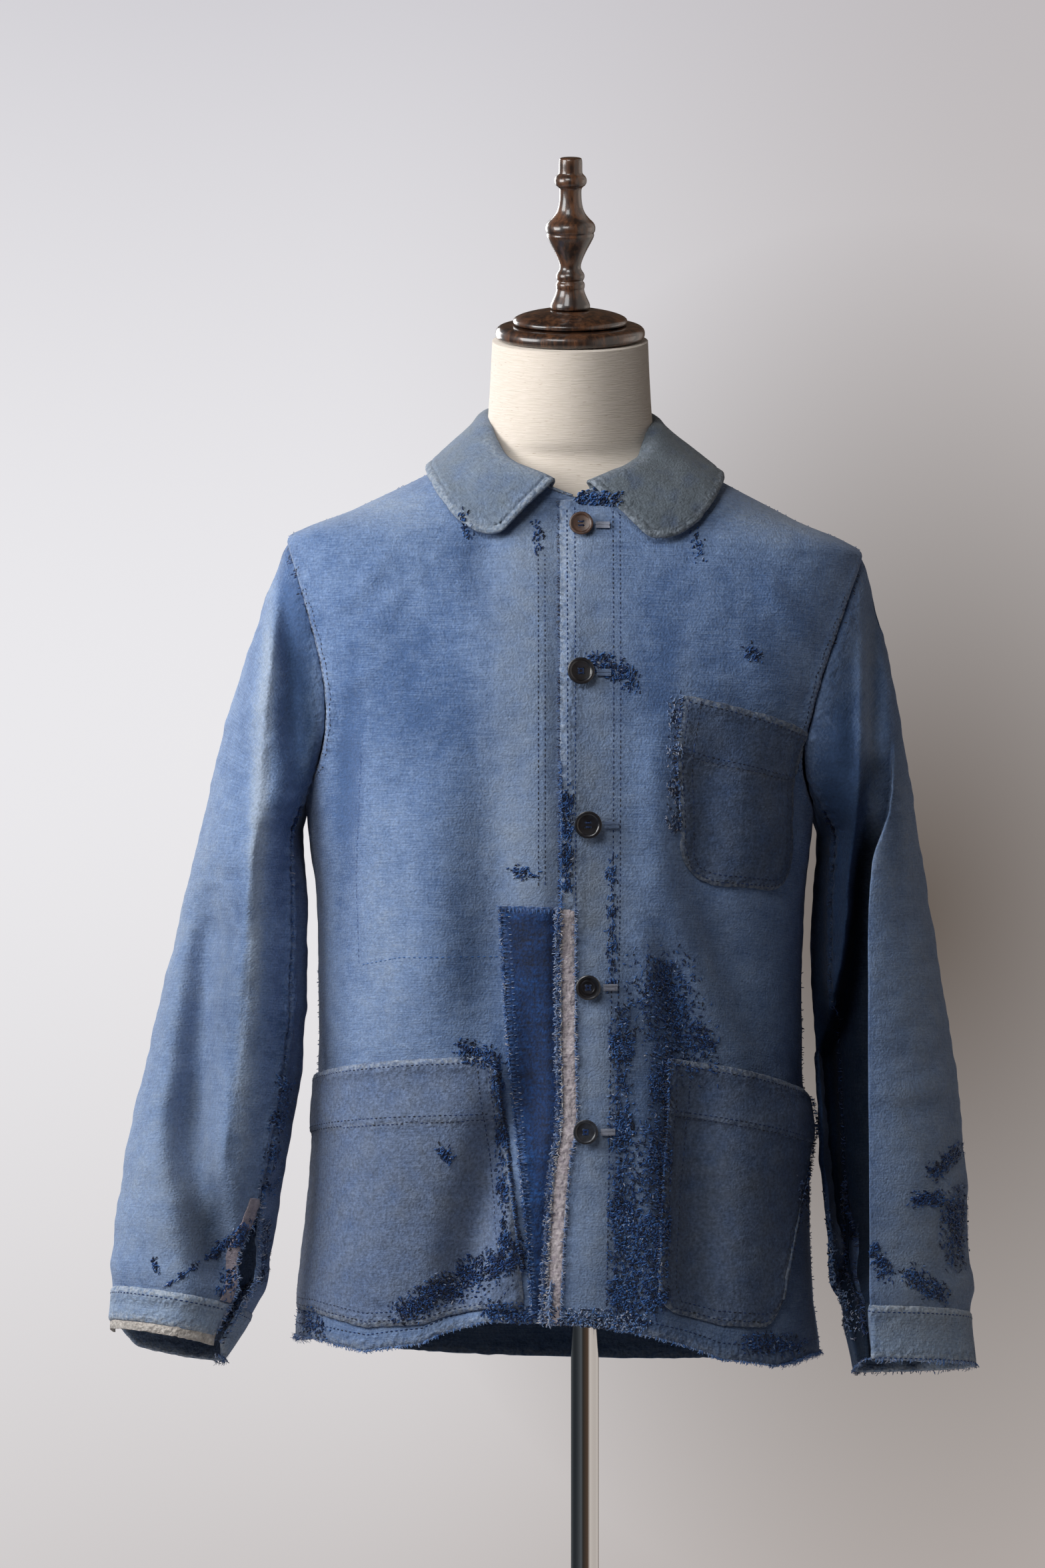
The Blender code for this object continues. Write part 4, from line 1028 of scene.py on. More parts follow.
LEFT_SLEEVE = table(
    "height outside inside crease front back slope",
    (0.643, 0.3035, 0.211, 0.219, -0.126, -0.04, 0.24),
    (0.68, 0.2995, 0.2025, 0.2205, -0.125, -0.02, 0.24),
    (0.7117, 0.3016, 0.198, 0.2205, -0.124, -0.004, 0.23),
    (0.75, 0.3021, 0.1925, 0.2205, -0.122, 0.016, 0.21),
    (0.8, 0.3, 0.1885, 0.2205, -0.118, 0.036, 0.18),
    (0.8254, 0.2993, 0.1895, 0.2205, -0.114, 0.048, 0.15),
    (0.8744, 0.294, 0.186, 0.2205, -0.106, 0.064, 0.1),
    (0.953, 0.2818, 0.183, 0.221, -0.095, 0.08, 0.05),
    (0.999, 0.2756, 0.185, 0.223, -0.09, 0.085, 0.02),
    (1.045, 0.2668, 0.189, 0.232, -0.088, 0.088, 0),
)
SLEEVES = {-1: RIGHT_SLEEVE, 1: LEFT_SLEEVE}
SIDE_WORDS = {-1: "right", 1: "left"}
CUFF_TOP = {-1: 0.688, 1: 0.680}
SLEEVE_HEAD = 0.006
FRONT_SEAM, BACK_SEAM = 0.40, 0.80
SLEEVE_SEAM = 0.0006
VENT_TOP = 0.768
VENT_OPEN = 0.018
SLEEVE_GIRTH = 0.40

SLEEVE_FOLDS = {
    (-1, "front"): fold_table(
        (-277, 1020, -294, 790, 17, -33, 0),
        (-300, 850, -262, 680, 16, -24, 0),
        (-262, 880, -268, 790, 5, 3, 0),
        (-312, 1000, -312, 690, 28, 6, 0),
        (-221, 1270, -241, 1060, 4.5, 3.4, 4),
        (-241, 1080, -260, 880, 5, 2.6, 1),
        (-223, 1260, -241, 1090, 18, 17, 4),
        (-243, 1080, -256, 900, 15, 4, 1),
        (-214, 1215, -208, 1080, 11, -16, 0),
        (-212, 1184, -198, 1120, 6, 3, 3),
        (-224, 1160, -206, 1150, 6, 2, 2),
        (-248, 1130, -232, 1118, 7, -2.2, 0),
        (-262, 1060, -236, 1045, 6, -1.8, 0),
        (-290, 1010, -248, 998, 6, 1.6, -2),
        (-285, 975, -246, 958, 6, -1.8, -2),
        (-300, 940, -262, 920, 7, 1.6, 2),
        (-250, 935, -226, 915, 5, -2, 0),
        (-246, 890, -226, 868, 5, -2, 0),
        (-330, 890, -290, 872, 8, -1.6, 0),
        (-340, 800, -300, 786, 8, 1.4, 0),
    ),
    (1, "front"): fold_table(
        (219.5, 1260, 218.5, 1080, 5, 6, 0),
        (231, 1250, 230, 1080, 9.5, -15, 0),
        (270, 990, 268, 700, 28, 4, 0),
        (240, 905, 285, 895, 6, -1.4, 1),
        (235, 880, 280, 872, 6, -1.4, -1),
        (245, 855, 285, 850, 6, 1.4, 1),
        (240, 840, 290, 828, 6, -1.4, 0),
        (270, 760, 300, 790, 8, 2.2, 0),
        (255, 1120, 232, 1090, 7, -2, 0),
    ),
    (-1, "back"): fold_table(
        (-262, 1150, -285, 760, 20, 5.5, 10),
        (-235, 1080, -245, 800, 14, -5.5, 6),
        (-300, 1000, -230, 960, 10, -4, 6),
        (-310, 950, -235, 925, 10, 3.5, -6),
        (-320, 900, -240, 880, 10, -4, 6),
        (-330, 840, -270, 860, 9, 2.5, 4),
    ),
    (1, "back"): fold_table(
        (252, 1140, 268, 750, 20, 5.5, -10),
        (215, 1080, 222, 800, 14, -5.5, -6),
        (270, 1010, 205, 975, 10, -4, -6),
        (285, 955, 210, 935, 10, 3.5, 6),
        (290, 905, 215, 880, 10, -4, -6),
    ),
}
# The left sleeve is tucked: its inner half lies deep behind the outer half's edge.
TUCK = table(
    "height edge crest inner deep",
    (0.64, 0.219, 0.14, 0.07, 0.07),
    (0.7, 0.219, 0.14, 0.082, 0.082),
    (0.82, 0.219, 0.165, 0.082, 0.082),
    (0.882, 0.2193, 0.188, 0.054, 0.08),
    (0.93, 0.2198, 0.199, 0.036, 0.078),
    (0.973, 0.2203, 0.2053, 0.028, 0.072),
    (1.025, 0.224, 0.211, 0.02, 0.056),
    (1.066, 0.2372, 0.216, 0.014, 0.032),
    (1.12, 0.245, 0.219, 0, 0),
)
SLEEVE_WEAR = {
    -1: wear_table(
        (-234, 1180, 6, 60, 0.7, 0.2, 0),
        (-240, 1080, 7, 90, 0.65, 0.2, 0),
        (-244, 960, 6, 90, 0.55, 0.2, 0),
        (-252, 860, 6, 70, 0.4, 0.2, 0),
        (-300, 960, 35, 160, 0.15, 0.35, 0),
        (-300, 760, 50, 80, 0.2, 0.5, 0),
        (-220, 960, 14, 220, 0, 0, 0.35),
        # Deep blue here is partly painted shade, on the side of the sleeve turned from the light.
        (-216, 1180, 14, 90, 0, 0, 0.8),
        (-280, 860, 15, 80, 0, 0, 0.3),
    ),
    1: wear_table(
        (228, 1080, 8, 120, 0.35, 0.1, 0),
        (262, 860, 40, 180, 0.1, 0.45, 0),
        (270, 720, 50, 60, 0.15, 0.45, 0),
        # These two deep rows darken the tucked valley: unfaded blue and painted shade.
        (204, 900, 16, 260, 0, 0, 1.6),
        (190, 720, 26, 90, 0, 0, 1.2),
    ),
}


def sleeve_section(side, around, height):
    """A sleeve's own level section, with soft creases in front and behind."""
    size = {name: smooth(SLEEVES[side], name, height) for name in SLEEVES[side]}
    across, along = np.cos(2 * pi * around), np.sin(2 * pi * around)
    reach = np.where(across > 0, size["outside"] - size["crease"], size["crease"] - size["inside"])
    middle, half = (size["front"] + size["back"]) / 2, (size["back"] - size["front"]) / 2
    x = size["crease"] + power(across, 1.3) * reach
    return np.stack([side * x + LEAN, middle - half * along, height + size["slope"] * half * along], -1)


def grid_facing(grid):
    return unit(np.cross(np.gradient(grid, axis=1), np.gradient(grid, axis=0)))


TUCKED = {}


def hang_sleeve(side, rows=300, columns=400, rounding=160):
    """A fine grid of one hanging sleeve: around from the outside by the front, and down from the
    armhole (0) by the first level section (1) to the hem (2)."""
    around = np.linspace(0, 1, columns + 1)
    down = np.linspace(0, 2, rows + 1)[:, None]
    sections = SLEEVES[side]["height"]
    height = sections[-1] + (sections[0] - sections[-1]) * np.clip(down - 1, 0, 1)
    joined = np.clip(down, 0, 1)[..., None]
    head = np.zeros((*joined.shape[:1], columns + 1, 3))
    head[..., 0] = side * SLEEVE_HEAD * np.clip(np.cos(2 * pi * around), 0, 1)
    start = body_cloth(*armhole(side, around), 0.0002)
    start[:, 0] += side * 0.0006
    end = sleeve_section(side, around[None], height)
    grid = start * (1 - joined) + end * joined + head * 4 * joined * (1 - joined)
    for _ in range(rounding):
        grid[1:-1] += 0.5 * (0.5 * (grid[:-2] + grid[2:]) - grid[1:-1])
    facing = grid_facing(grid) * side
    x, z = grid[..., 0] - LEAN, grid[..., 2]
    ahead = ease((0.25 - facing[..., 1]) / 0.5)
    out_in_front, out_behind = (folded(SLEEVE_FOLDS[side, face], x, z) for face in ("front", "back"))
    deep = out_behind * (1 - ahead) - out_in_front * ahead
    leaning = 0
    TUCKED[side] = np.zeros((*x.shape, 1))
    if side > 0:
        size = {name: smooth(TUCK, name, z) for name in TUCK}
        behind = ease((size["crest"] - x) / 0.006 + 0.5)
        depth = size["deep"] + (size["inner"] - size["deep"]) * behind
        tucked_in = ease((size["edge"] - x) / 0.003 + 0.5) * depth * ahead
        deep = deep + tucked_in
        TUCKED[side] = tucked_in[..., None]
        leaning = 0.16 * TUCKED[side] * (1, 0, 0)
    out = 0.0015 * crumple(grid * (1, 1, 1.6), 0.045, 3.0 + side)
    out = out + 0.0008 * crumple(grid * (0.5, 0.5, 1.8), 0.016, 7.0 + side)
    near = line_distance(grid, ARMHOLES[side])
    deep = deep * ease(near / 0.04)
    out = out * ease(near / 0.03) + 0.0008 * mound(near - 0.009, 0.007)
    for seam in (FRONT_SEAM, BACK_SEAM):
        beside = np.abs(around - seam) * SLEEVE_GIRTH
        drawn = np.sin(2 * pi * z / 0.0078 + 5 * crumple(grid, 0.03, 1.0)) * mound(beside, 0.012)
        out = out + 0.0009 * drawn * (0.6 + 0.4 * crumple(grid, 0.02, 2.0))
        out = out + 0.0008 * mound(beside - 0.004, 0.003) - 0.0012 * mound(beside, 0.0015)
    freed = np.minimum(down * 40, 1)
    below = ease((z.mean(1) - CUFF_TOP[side] - 0.003) / 0.02)[:, None]
    puffed = 0.0035 * mound(z - CUFF_TOP[side] - 0.022, 0.014)
    loose = (0.3 + 0.7 * below) * freed
    grid = grid + (deep * loose)[..., None] * (0, 1, 0) + leaning
    if side < 0:
        grid = grid + (ease((0.80 - z) / 0.12) * 0.19 * (-0.292 - x))[..., None] * (0, 0, 1)
    return grid + facing * (out * loose + puffed * freed)[..., None]


SLEEVE_GRIDS = {side: hang_sleeve(side) for side in (-1, 1)}


def read_grid(grid, row, column):
    """A grid's points read between its rows and columns, given as shares of them."""
    rows, columns = grid.shape[0] - 1, grid.shape[1] - 1
    r, c = np.broadcast_arrays(np.clip(row, 0, 1) * rows, np.mod(column, 1) * columns)
    r0, c0 = np.minimum(r.astype(int), rows - 1), np.minimum(c.astype(int), columns - 1)
    tr, tc = (r - r0)[..., None], (c - c0)[..., None]
    low = grid[r0, c0] * (1 - tc) + grid[r0, c0 + 1] * tc
    high = grid[r0 + 1, c0] * (1 - tc) + grid[r0 + 1, c0 + 1] * tc
    return low * (1 - tr) + high * tr


SLEEVE_FACINGS = {side: grid_facing(grid) * side for side, grid in SLEEVE_GRIDS.items()}


def sleeve(side, around, down, out=0.0):
    """Points of a hanging sleeve, moved out by a distance."""
    row = np.asarray(down) / 2
    facing = unit(read_grid(SLEEVE_FACINGS[side], row, around))
    return read_grid(SLEEVE_GRIDS[side], row, around) + facing * np.asarray(out)[..., None]


def down_of(side, height):
    """How far down a sleeve a height lies."""
    first, last = SLEEVES[side]["height"][-1], SLEEVES[side]["height"][0]
    return 1 + (first - height) / (first - last)


def vent(height):
    """Half the opening of the sleeve's vent at a height, as a share of the way round."""
    gape = 0.020 * mound(height - 0.722, 0.020) * ease((VENT_TOP - height) / 0.02)
    return SLEEVE_SEAM + VENT_OPEN * np.clip((VENT_TOP - height) / 0.085, 0, 1) ** 0.7 + gape


def sleeve_height(side, down):
    """The height at a place down a sleeve."""
    first, last = SLEEVES[side]["height"][-1], SLEEVES[side]["height"][0]
    return first + (last - first) * np.clip(down - 1, 0, 1)


# Where a sleeve's cloth is painted darker for the shade in its creases and under the arm
SLEEVE_PAINTED_SHADE = {
    -1: table(
        "x z across high amount",
        (-203.5, 1135, 9, 60, 0.75),
        (-213, 1180, 8, 40, 0.4),
        (-262, 925, 20, 80, 0.28),
        (-289, 835, 10, 60, 0.3),
        (-274, 758, 15, 36, 0.62),
        (-222, 840, 7, 60, 0.35),
        in_mm=4,
    ),
    1: table(
        "x z across high amount",
        (206, 1110, 9, 70, 0.45),
        (235, 1190, 9, 70, 0.35),
        (243, 1080, 10, 60, 0.35),
        in_mm=4,
    ),
}


def sleeve_marks(side, place, lines, tucked=0.0):
    """Wear on a sleeve's cloth, how rubbed and puckered it is beside its lines of stitching, most on
    the right forearm, and how little light reaches it."""
    x, z = place[..., 0] - LEAN, place[..., 2]
    near = line_distance(place, *lines)
    rub = 0.7 * mound(near - 0.0015, 0.0028) * ease(line_distance(place, ARMHOLES[side]) / 0.02)
    gathered = 1.6 * (side < 0) * ease((1.0 - z) / 0.1) * ease((z - 0.73) / 0.03)
    pucker = mound(near - 0.005, 0.007) * (1 + gathered)
    unlit = 0 * near
    for at_x, at_z, across, high, amount in zip(*SLEEVE_PAINTED_SHADE[side].values()):
        unlit = unlit + amount * smudge(x - at_x, across, z - at_z, high)
    # Painted shade: the tucked valley is painted nearly black.
    unlit = np.maximum(unlit, np.maximum(0.6 * ease(tucked / 0.015), np.clip(tucked / 0.05, 0, 1) ** 1.2))
    return {"wear": worn(SLEEVE_WEAR[side], x, z), "edge": np.stack([rub * (1 - unlit), pucker, unlit], -1)}


def sleeve_piece(name, side, around, down, out, thick, finish, frayed, lines=()):
    """Sews one piece of a sleeve from grids of its places round and down the tube."""
    around, down = around[::-1, ::-side], down[::-1, ::-side]
    face = sleeve(side, around, down, out + 0 * around)
    drop = np.linalg.norm(np.diff(SLEEVE_GRIDS[side][:, 60], axis=0), axis=1).cumsum()
    flat = np.stack([around * SLEEVE_GIRTH, -np.interp(down, np.linspace(0, 2, len(drop)), drop)], -1)
    marks = sleeve_marks(side, face, lines, read_grid(TUCKED[side], down / 2, around)[..., 0])
    return sew(name, face, thick, flat, marks, finish, frayed), face


for side, word in SIDE_WORDS.items():
    cuff_down = down_of(side, CUFF_TOP[side] - 0.004)
    downs = np.concatenate([np.linspace(0, 1, 70), np.linspace(1, cuff_down, 160)[1:]])
    opening = vent(sleeve_height(side, downs))
    seams = [sleeve(side, seam, np.linspace(0, 2, 200)) for seam in (FRONT_SEAM, BACK_SEAM)]
    for name, start, end, columns, frayed in (
        ("top", BACK_SEAM - 1 + SLEEVE_SEAM + 0 * downs, FRONT_SEAM - opening, 150, 0.0007),
        ("under", FRONT_SEAM + opening, BACK_SEAM - SLEEVE_SEAM + 0 * downs, 46, 0.0009),
    ):
        around = spread(start, end, columns)
        down = np.repeat(downs[:, None], columns, 1)
        lines, node = [ARMHOLES[side], *seams], f"sleeve_{word}_{name}"
        piece, face = sleeve_piece(f"jacket_{node}", side, around, down, 0, CLOTH, MOLESKIN, frayed, lines)
        lay(piece, node, "moleskin")


# The cuffs: doubled bands of the same moleskin, rubbed greyer, sewn over the sleeves' gathered ends
# and left open at the vents. The right one has lost its edge, and shows the twill inside it.
CUFF_COLUMNS, CUFF_ROWS = 110, 16
CUFF_FROM, CUFF_TO = FRONT_SEAM + VENT_OPEN, 1 + FRONT_SEAM - VENT_OPEN
CUFF_OUT = 0.0016
CUFF_THICK = 0.0034
GREYED = moleskin("moleskin rubbed grey", "#5a76a0", "#8ca1be", "#b2bfd0", "#949fac", "#bcc4cd")


def raised_edge(around):
    """How much of the right cuff's height its worn front edge has lost."""
    return 0.34 * ease((0.31 - np.abs((around + 0.33) % 1 - 0.5)) / 0.09)


for side, word in SIDE_WORDS.items():
    downs = np.linspace(down_of(side, CUFF_TOP[side]), 2, CUFF_ROWS)
    around = np.repeat(np.linspace(CUFF_FROM, CUFF_TO, CUFF_COLUMNS)[None], CUFF_ROWS, 0)
    down = np.repeat(downs[:, None], CUFF_COLUMNS, 1)
    if side < 0:
        down = down - raised_edge(around) * np.linspace(0, 1, CUFF_ROWS)[:, None] * (2 - downs[0])
    edges = [sleeve(side, around[row], down[row]) for row in (0, -1)]
    piece, face = sleeve_piece(
        f"jacket_cuff_{word}", side, around, down, CUFF_OUT, CUFF_THICK, GREYED, 0.0005, edges
    )
    lay(piece, f"cuff_{word}", "moleskin_grey")

# Faded tape: narrow pinkish grey cotton, sewn along the right sleeve's vent and down the lapped edge.
# The twill is off-white. Both are coarser than the moleskin, with a weft drawn 1.1 mm apart.
COARSE_WEFT = 0.0011
TAPE = moleskin("faded cotton tape", "#8d8595", "#a99fa9", "#c4b9bb", "#9a8f90", "#d2cacb", COARSE_WEFT)
TWILL = moleskin(
    "off-white cotton twill", "#b3aca6", "#c9c2bb", "#ddd7d0", "#b5aba2", "#e6e1db", COARSE_WEFT
)
TRIM = 0.001
heights = np.linspace(0.762, CUFF_TOP[-1] + 0.002, 30)
end = FRONT_SEAM - vent(heights)
around = spread(end - 0.030, end, 7)
down = np.repeat(down_of(-1, heights)[:, None], 7, 1)
piece, face = sleeve_piece("jacket_vent_facing", -1, around, down, 0.0013, TRIM, TAPE, 0.0009)
lay(piece, "vent_facing_right", "faded_tape")

downs = np.linspace(down_of(-1, 0.672), 2, 8)
around = np.repeat(np.linspace(-0.04, FRONT_SEAM - VENT_OPEN, 56)[None], 8, 0)
down = np.repeat(downs[:, None], 56, 1)
down = down - raised_edge(around) * (2 - down_of(-1, CUFF_TOP[-1])) * np.linspace(0, 1, 8)[:, None]
drop = np.linspace(0, 1, 8)[:, None, None] ** 2 * (0, 0, 0.0075)
face = sleeve(-1, around, down, 0.0004 + 0 * around) - drop
face, flat = face[::-1], np.stack([around, down], -1)[::-1]
marks = sleeve_marks(-1, face, (face[0],))
lining = sew("jacket_cuff_lining", face, TRIM, flat * (SLEEVE_GIRTH, -0.4), marks, TWILL, 0.0006)
lay(lining, "cuff_lining_right", "twill")


# The neckband and the collar: a narrow standing band sewn into the neckline, and a club collar that
# rolls over it and lies on the shoulders, its round points in front. Both are frayed along the roll.
COLLAR = table(
    "step roll_turn roll_height edge_across edge_height behind",
    (0, 0.025, 1.312, 0.057, 1.27, 0),
    (1, 0.06, 1.3185, 0.0715, 1.274, 0),
    (2, 0.1, 1.327, 0.085, 1.2835, 0),
    (3, 0.14, 1.338, 0.0965, 1.298, 0),
    (4, 0.18, 1.353, 0.104, 1.313, 0),
    (5, 0.22, 1.366, 0.106, 1.3245, 0),
    (6, 0.26, 1.374, 0.106, 1.3225, 1),
    (7, 0.31, 1.381, 0.102, 1.316, 1),
    (8, 0.37, 1.384, 0.085, 1.311, 1),
    (9, 0.43, 1.386, 0.046, 1.309, 1),
    (10, 0.5, 1.386, 0, 1.308, 1),
)
COLLAR_CLOTH = 0.0030
COLLAR_ROLL = 0.0028
COLLAR_POINT = 0.006
COLLAR_RETURN = 0.0035


def layered(grid, **marks):
    """Named marks on a grid's points, each of three values that are grids or plain numbers."""
    return {name: np.stack([value + 0 * grid for value in values], -1) for name, values in marks.items()}


def neck_ring(turn, height):
    """A level ring just outside the form's neck, on which the collar stands."""
    bow = np.where(np.cos(2 * pi * turn) > 0, 2 / 2.6, 1.0)
    side, ahead = power(np.sin(2 * pi * turn), bow), power(np.cos(2 * pi * turn), bow)
    x = side * 0.0705 - 0.0036
    y = np.where(ahead > 0, -ahead * 0.0810, -ahead * 0.0700)
    return np.stack([x + LEAN, y, height - SIDE_SLOPE * x + 0 * turn], -1)


def roll_height(turn):
    """How high the collar's roll stands at a turn round the neck."""
    away = np.abs((turn + 0.5) % 1 - 0.5)
    return smooth({"turn": COLLAR["roll_turn"], "height": COLLAR["roll_height"]}, "height", away)


steps = np.concatenate([np.linspace(0, 10, 100), np.linspace(10, 0, 100)[1:]])
sign = np.where(np.arange(len(steps)) < 100, -1, 1)
roll_turns = sign * smooth(COLLAR, "roll_turn", steps)
columns = "edge_across", "edge_height", "behind"
across, high, behind = (smooth(COLLAR, column, steps[:100]) for column in columns)
edge_turns = np.abs(np.where(behind > 0.5, 0.5, 0) - locate(across, high)[0])
edge_turns[4:-4] = np.convolve(edge_turns, np.ones(9) / 9, "valid")
edge_turns = sign * np.concatenate([edge_turns, edge_turns[-2::-1]])
edge_levels = np.concatenate([high, high[-2::-1]])
roll = neck_ring(roll_turns, roll_height(roll_turns) - 0.009 * ease((np.abs(roll_turns) - 0.05) / 0.15))
edge = body_cloth(edge_turns, edge_levels, 0.0044)
fall = np.linspace(0, 1, 30)
face = roll[None] * (1 - fall)[:, None, None] + edge[None] * fall[:, None, None]
lifted = grid_facing(face)
lifted *= np.sign(lifted[..., 2:3] + 0.3)
hollow = 1 - 1.1 * ease((np.abs(roll_turns) - 0.10) / 0.08)[None]
fullness = 0.0020 + COLLAR_ROLL * hollow * np.sin(pi * fall)[:, None] ** 0.8
face = face + lifted * (fullness - 0.0016 * fall[:, None] ** 3)[..., None]
inward = unit((roll.mean(0) - roll) * (1, 1, 0))
bend = np.linspace(pi, 0, 12)[:-1, None, None]
first, second = face[0], face[1]
over = unit(first - second)
returned = first + over * COLLAR_RETURN * np.sin(bend) + inward * COLLAR_RETURN * (1 - np.cos(bend))
down_in = returned[:1] - np.array((0, 0, 0.0035)) * np.arange(4, 0, -1)[:, None, None]
face = np.concatenate([down_in, returned, face])
count = len(face)
run = np.linalg.norm(np.diff(face, axis=1), axis=2).cumsum(1)[-1]
width = np.interp(np.arange(len(steps)), (0, 12, len(steps) - 13, len(steps) - 1), (0, 1, 1, 0))
corner = COLLAR_POINT * (1 - np.sqrt(np.clip(1 - (1 - width) ** 2, 0, 1)))
rows_out = ease((np.arange(count) - count * 0.45) / (count * 0.55))[:, None]
face = face - unit(np.gradient(face, axis=0)) * (rows_out * corner)[..., None]
uneven = 0.0014 * crumple(face, 0.032, 4.0) + 0.0004 * crumple(face, 0.009, 2.0)
face = face + grid_facing(face) * uneven[..., None]
flat = np.stack(np.broadcast_arrays(np.r_[0, run][None], -0.0028 * np.arange(count)[:, None]), -1)
near = line_distance(face, face[-1], face[15:, 0], face[15:, -1])
face = face - grid_facing(face) * (0.0012 * mound(near - 0.0052, 0.0010))[..., None]
near_roll = line_distance(face, face[13, :40], face[13, -40:])
rub = 0.55 * mound(near - 0.001, 0.0022) + 0.2 * mound(near - 0.0065, 0.0018)
rub = rub + 0.5 * mound(near_roll, 0.004) + 0.3 * ease((0.0052 - near) / 0.001)
pucker = 0.8 * mound(near - 0.005, 0.004)
share = (np.arange(len(steps)) / (len(steps) - 1))[None]
# Painted shade: the collar is greyer, deeper and darker towards the wearer's left, away from the light;
# dirty is random soiling.
dirty = 0.5 + 0.5 * crumple(face, 0.024, 9.0)
marks = layered(
    near,
    wear=(0.40 - 0.3 * share, 0.30 + 0.75 * share + 0.3 * dirty, 0.3 * dirty + 0.5 * share),
    edge=(rub, pucker, 0.28 * share + 0.1 * dirty * share),
)
marks = {key: value[::-1] for key, value in marks.items()}
collar_face, flat = face[::-1], flat[::-1]
COLLAR_FINISH = moleskin(
    "moleskin rubbed grey and soiled", "#3f5884", "#6780a8", "#9db0c8", "#78848f", "#a9b4c2", grain=0.20
)
piece = sew("jacket_collar", collar_face, COLLAR_CLOTH, flat, marks, COLLAR_FINISH, 0.0005)
lay(piece, "collar", "moleskin_grey")

turns = np.linspace(-0.006, -0.994, 220)
away = np.abs((turns + 0.5) % 1 - 0.5)
sewn = np.where(away < 0.25, 0.25 * (away / 0.25) ** 1.6, away) * np.where(turns > -0.5, -1, 1)
low = FRONT_NECK + (NECK - FRONT_NECK) * np.clip(np.abs(sewn) / 0.2, 0, 1) ** 0.6
bottom = body_cloth(sewn, low)
bottom[:, 2] += 0.0008
top = neck_ring(turns, np.maximum(roll_height(turns) - 0.0065, low + 0.003))
radial = unit(top * (1, 1, 0) - (LEAN, 0, 0))
top -= radial * 0.0022
rise = np.linspace(0, 1, 12)[:, None, None]
face = (bottom[None] * (1 - rise) + top[None] * rise)[:, ::-1]
face = face + 0.0006 * crumple(face, 0.012, 6.0)[..., None] * radial[None, ::-1]
run = np.linalg.norm(np.diff(face, axis=1), axis=2).sum(1).max()
flat = np.stack(np.broadcast_arrays(np.linspace(0, run, 220)[None], rise[..., 0] * 0.04), -1)
near = line_distance(face, face[-1])
marks = layered(near, wear=(0.2, 0.5, 0), edge=(0.9 * mound(near, 0.004), 1, 0))
neckband_face = face
piece = sew("jacket_neckband", face, 0.0016, flat, marks, MOLESKIN, 0.0012)
lay(piece, "neckband", "moleskin")


# The pockets: two large ones at the hem and a small one on the left chest, each with its top turned
# in and sewn as a band, its lower corners round, and its edges stitched flat twice. All are rubbed grey.
POCKETS = {
    "right": ((-0.0627, 0.880), (-0.230, 0.857), (-0.040, 0.690), (-0.230, 0.680), 0.004, 0.012, 0.048),
    "left": ((0.0700, 0.878), (0.184, 0.841), (0.0630, 0.690), (0.160, 0.674), 0.012, 0.030, 0.045),
    "chest": ((0.0793, 1.1507), (0.1734, 1.1245), (0.0795, 1.0100), (0.1635, 1.0020), 0.028, 0.024, 0.046),
}
POCKET_GRID = 0.0024
PATCH_GAP = 0.0004
POCKET_CLOTH = moleskin(
    "moleskin soiled by hands", "#43608f", "#6880ab", "#8fa1bd", "#6d7a90", "#a6b0bd", grain=0.34
)


def pocket_places(corners, radii, share, down):
    """Turns and heights on a pocket: share runs from its inner to its outer edge, down from its foot."""
    ends = [locate(*corner) for corner in corners]
    top_in, top_out, low_in, low_out = (tuple(float(v) for v in end) for end in ends)
    width = abs(corners[2][0] - corners[3][0])
    lift = 0 * share
    for radius, distance in zip(radii, (share * width, (1 - share) * width)):
        inside = np.clip(radius - distance, 0, radius) / radius
        lift = lift + radius * (1 - np.sqrt(1 - inside**2))
    turns = (top_in[0] * (1 - share) + top_out[0] * share) * down
    turns = turns + (low_in[0] * (1 - share) + low_out[0] * share) * (1 - down)
    top = top_in[1] * (1 - share) + top_out[1] * share
    low = low_in[1] * (1 - share) + low_out[1] * share + lift
    return turns, top * down + low * (1 - down)


def pocket_out(share, down, tall, band):
    """How far a pocket's face stands out: full in its middle, gaping a little at its mouth."""
    full = ease(share / 0.12) * ease((1 - share) / 0.12) * ease(down / 0.10)
    gape = np.sin(pi * share) * ease((down - 0.75) / 0.25)
    step = 0.0019 * ease((tall * (down - 1) + band) / 0.0024 + 0.5)
    return PATCH_GAP + CLOTH + 0.0012 * full + 0.0016 * gape + step


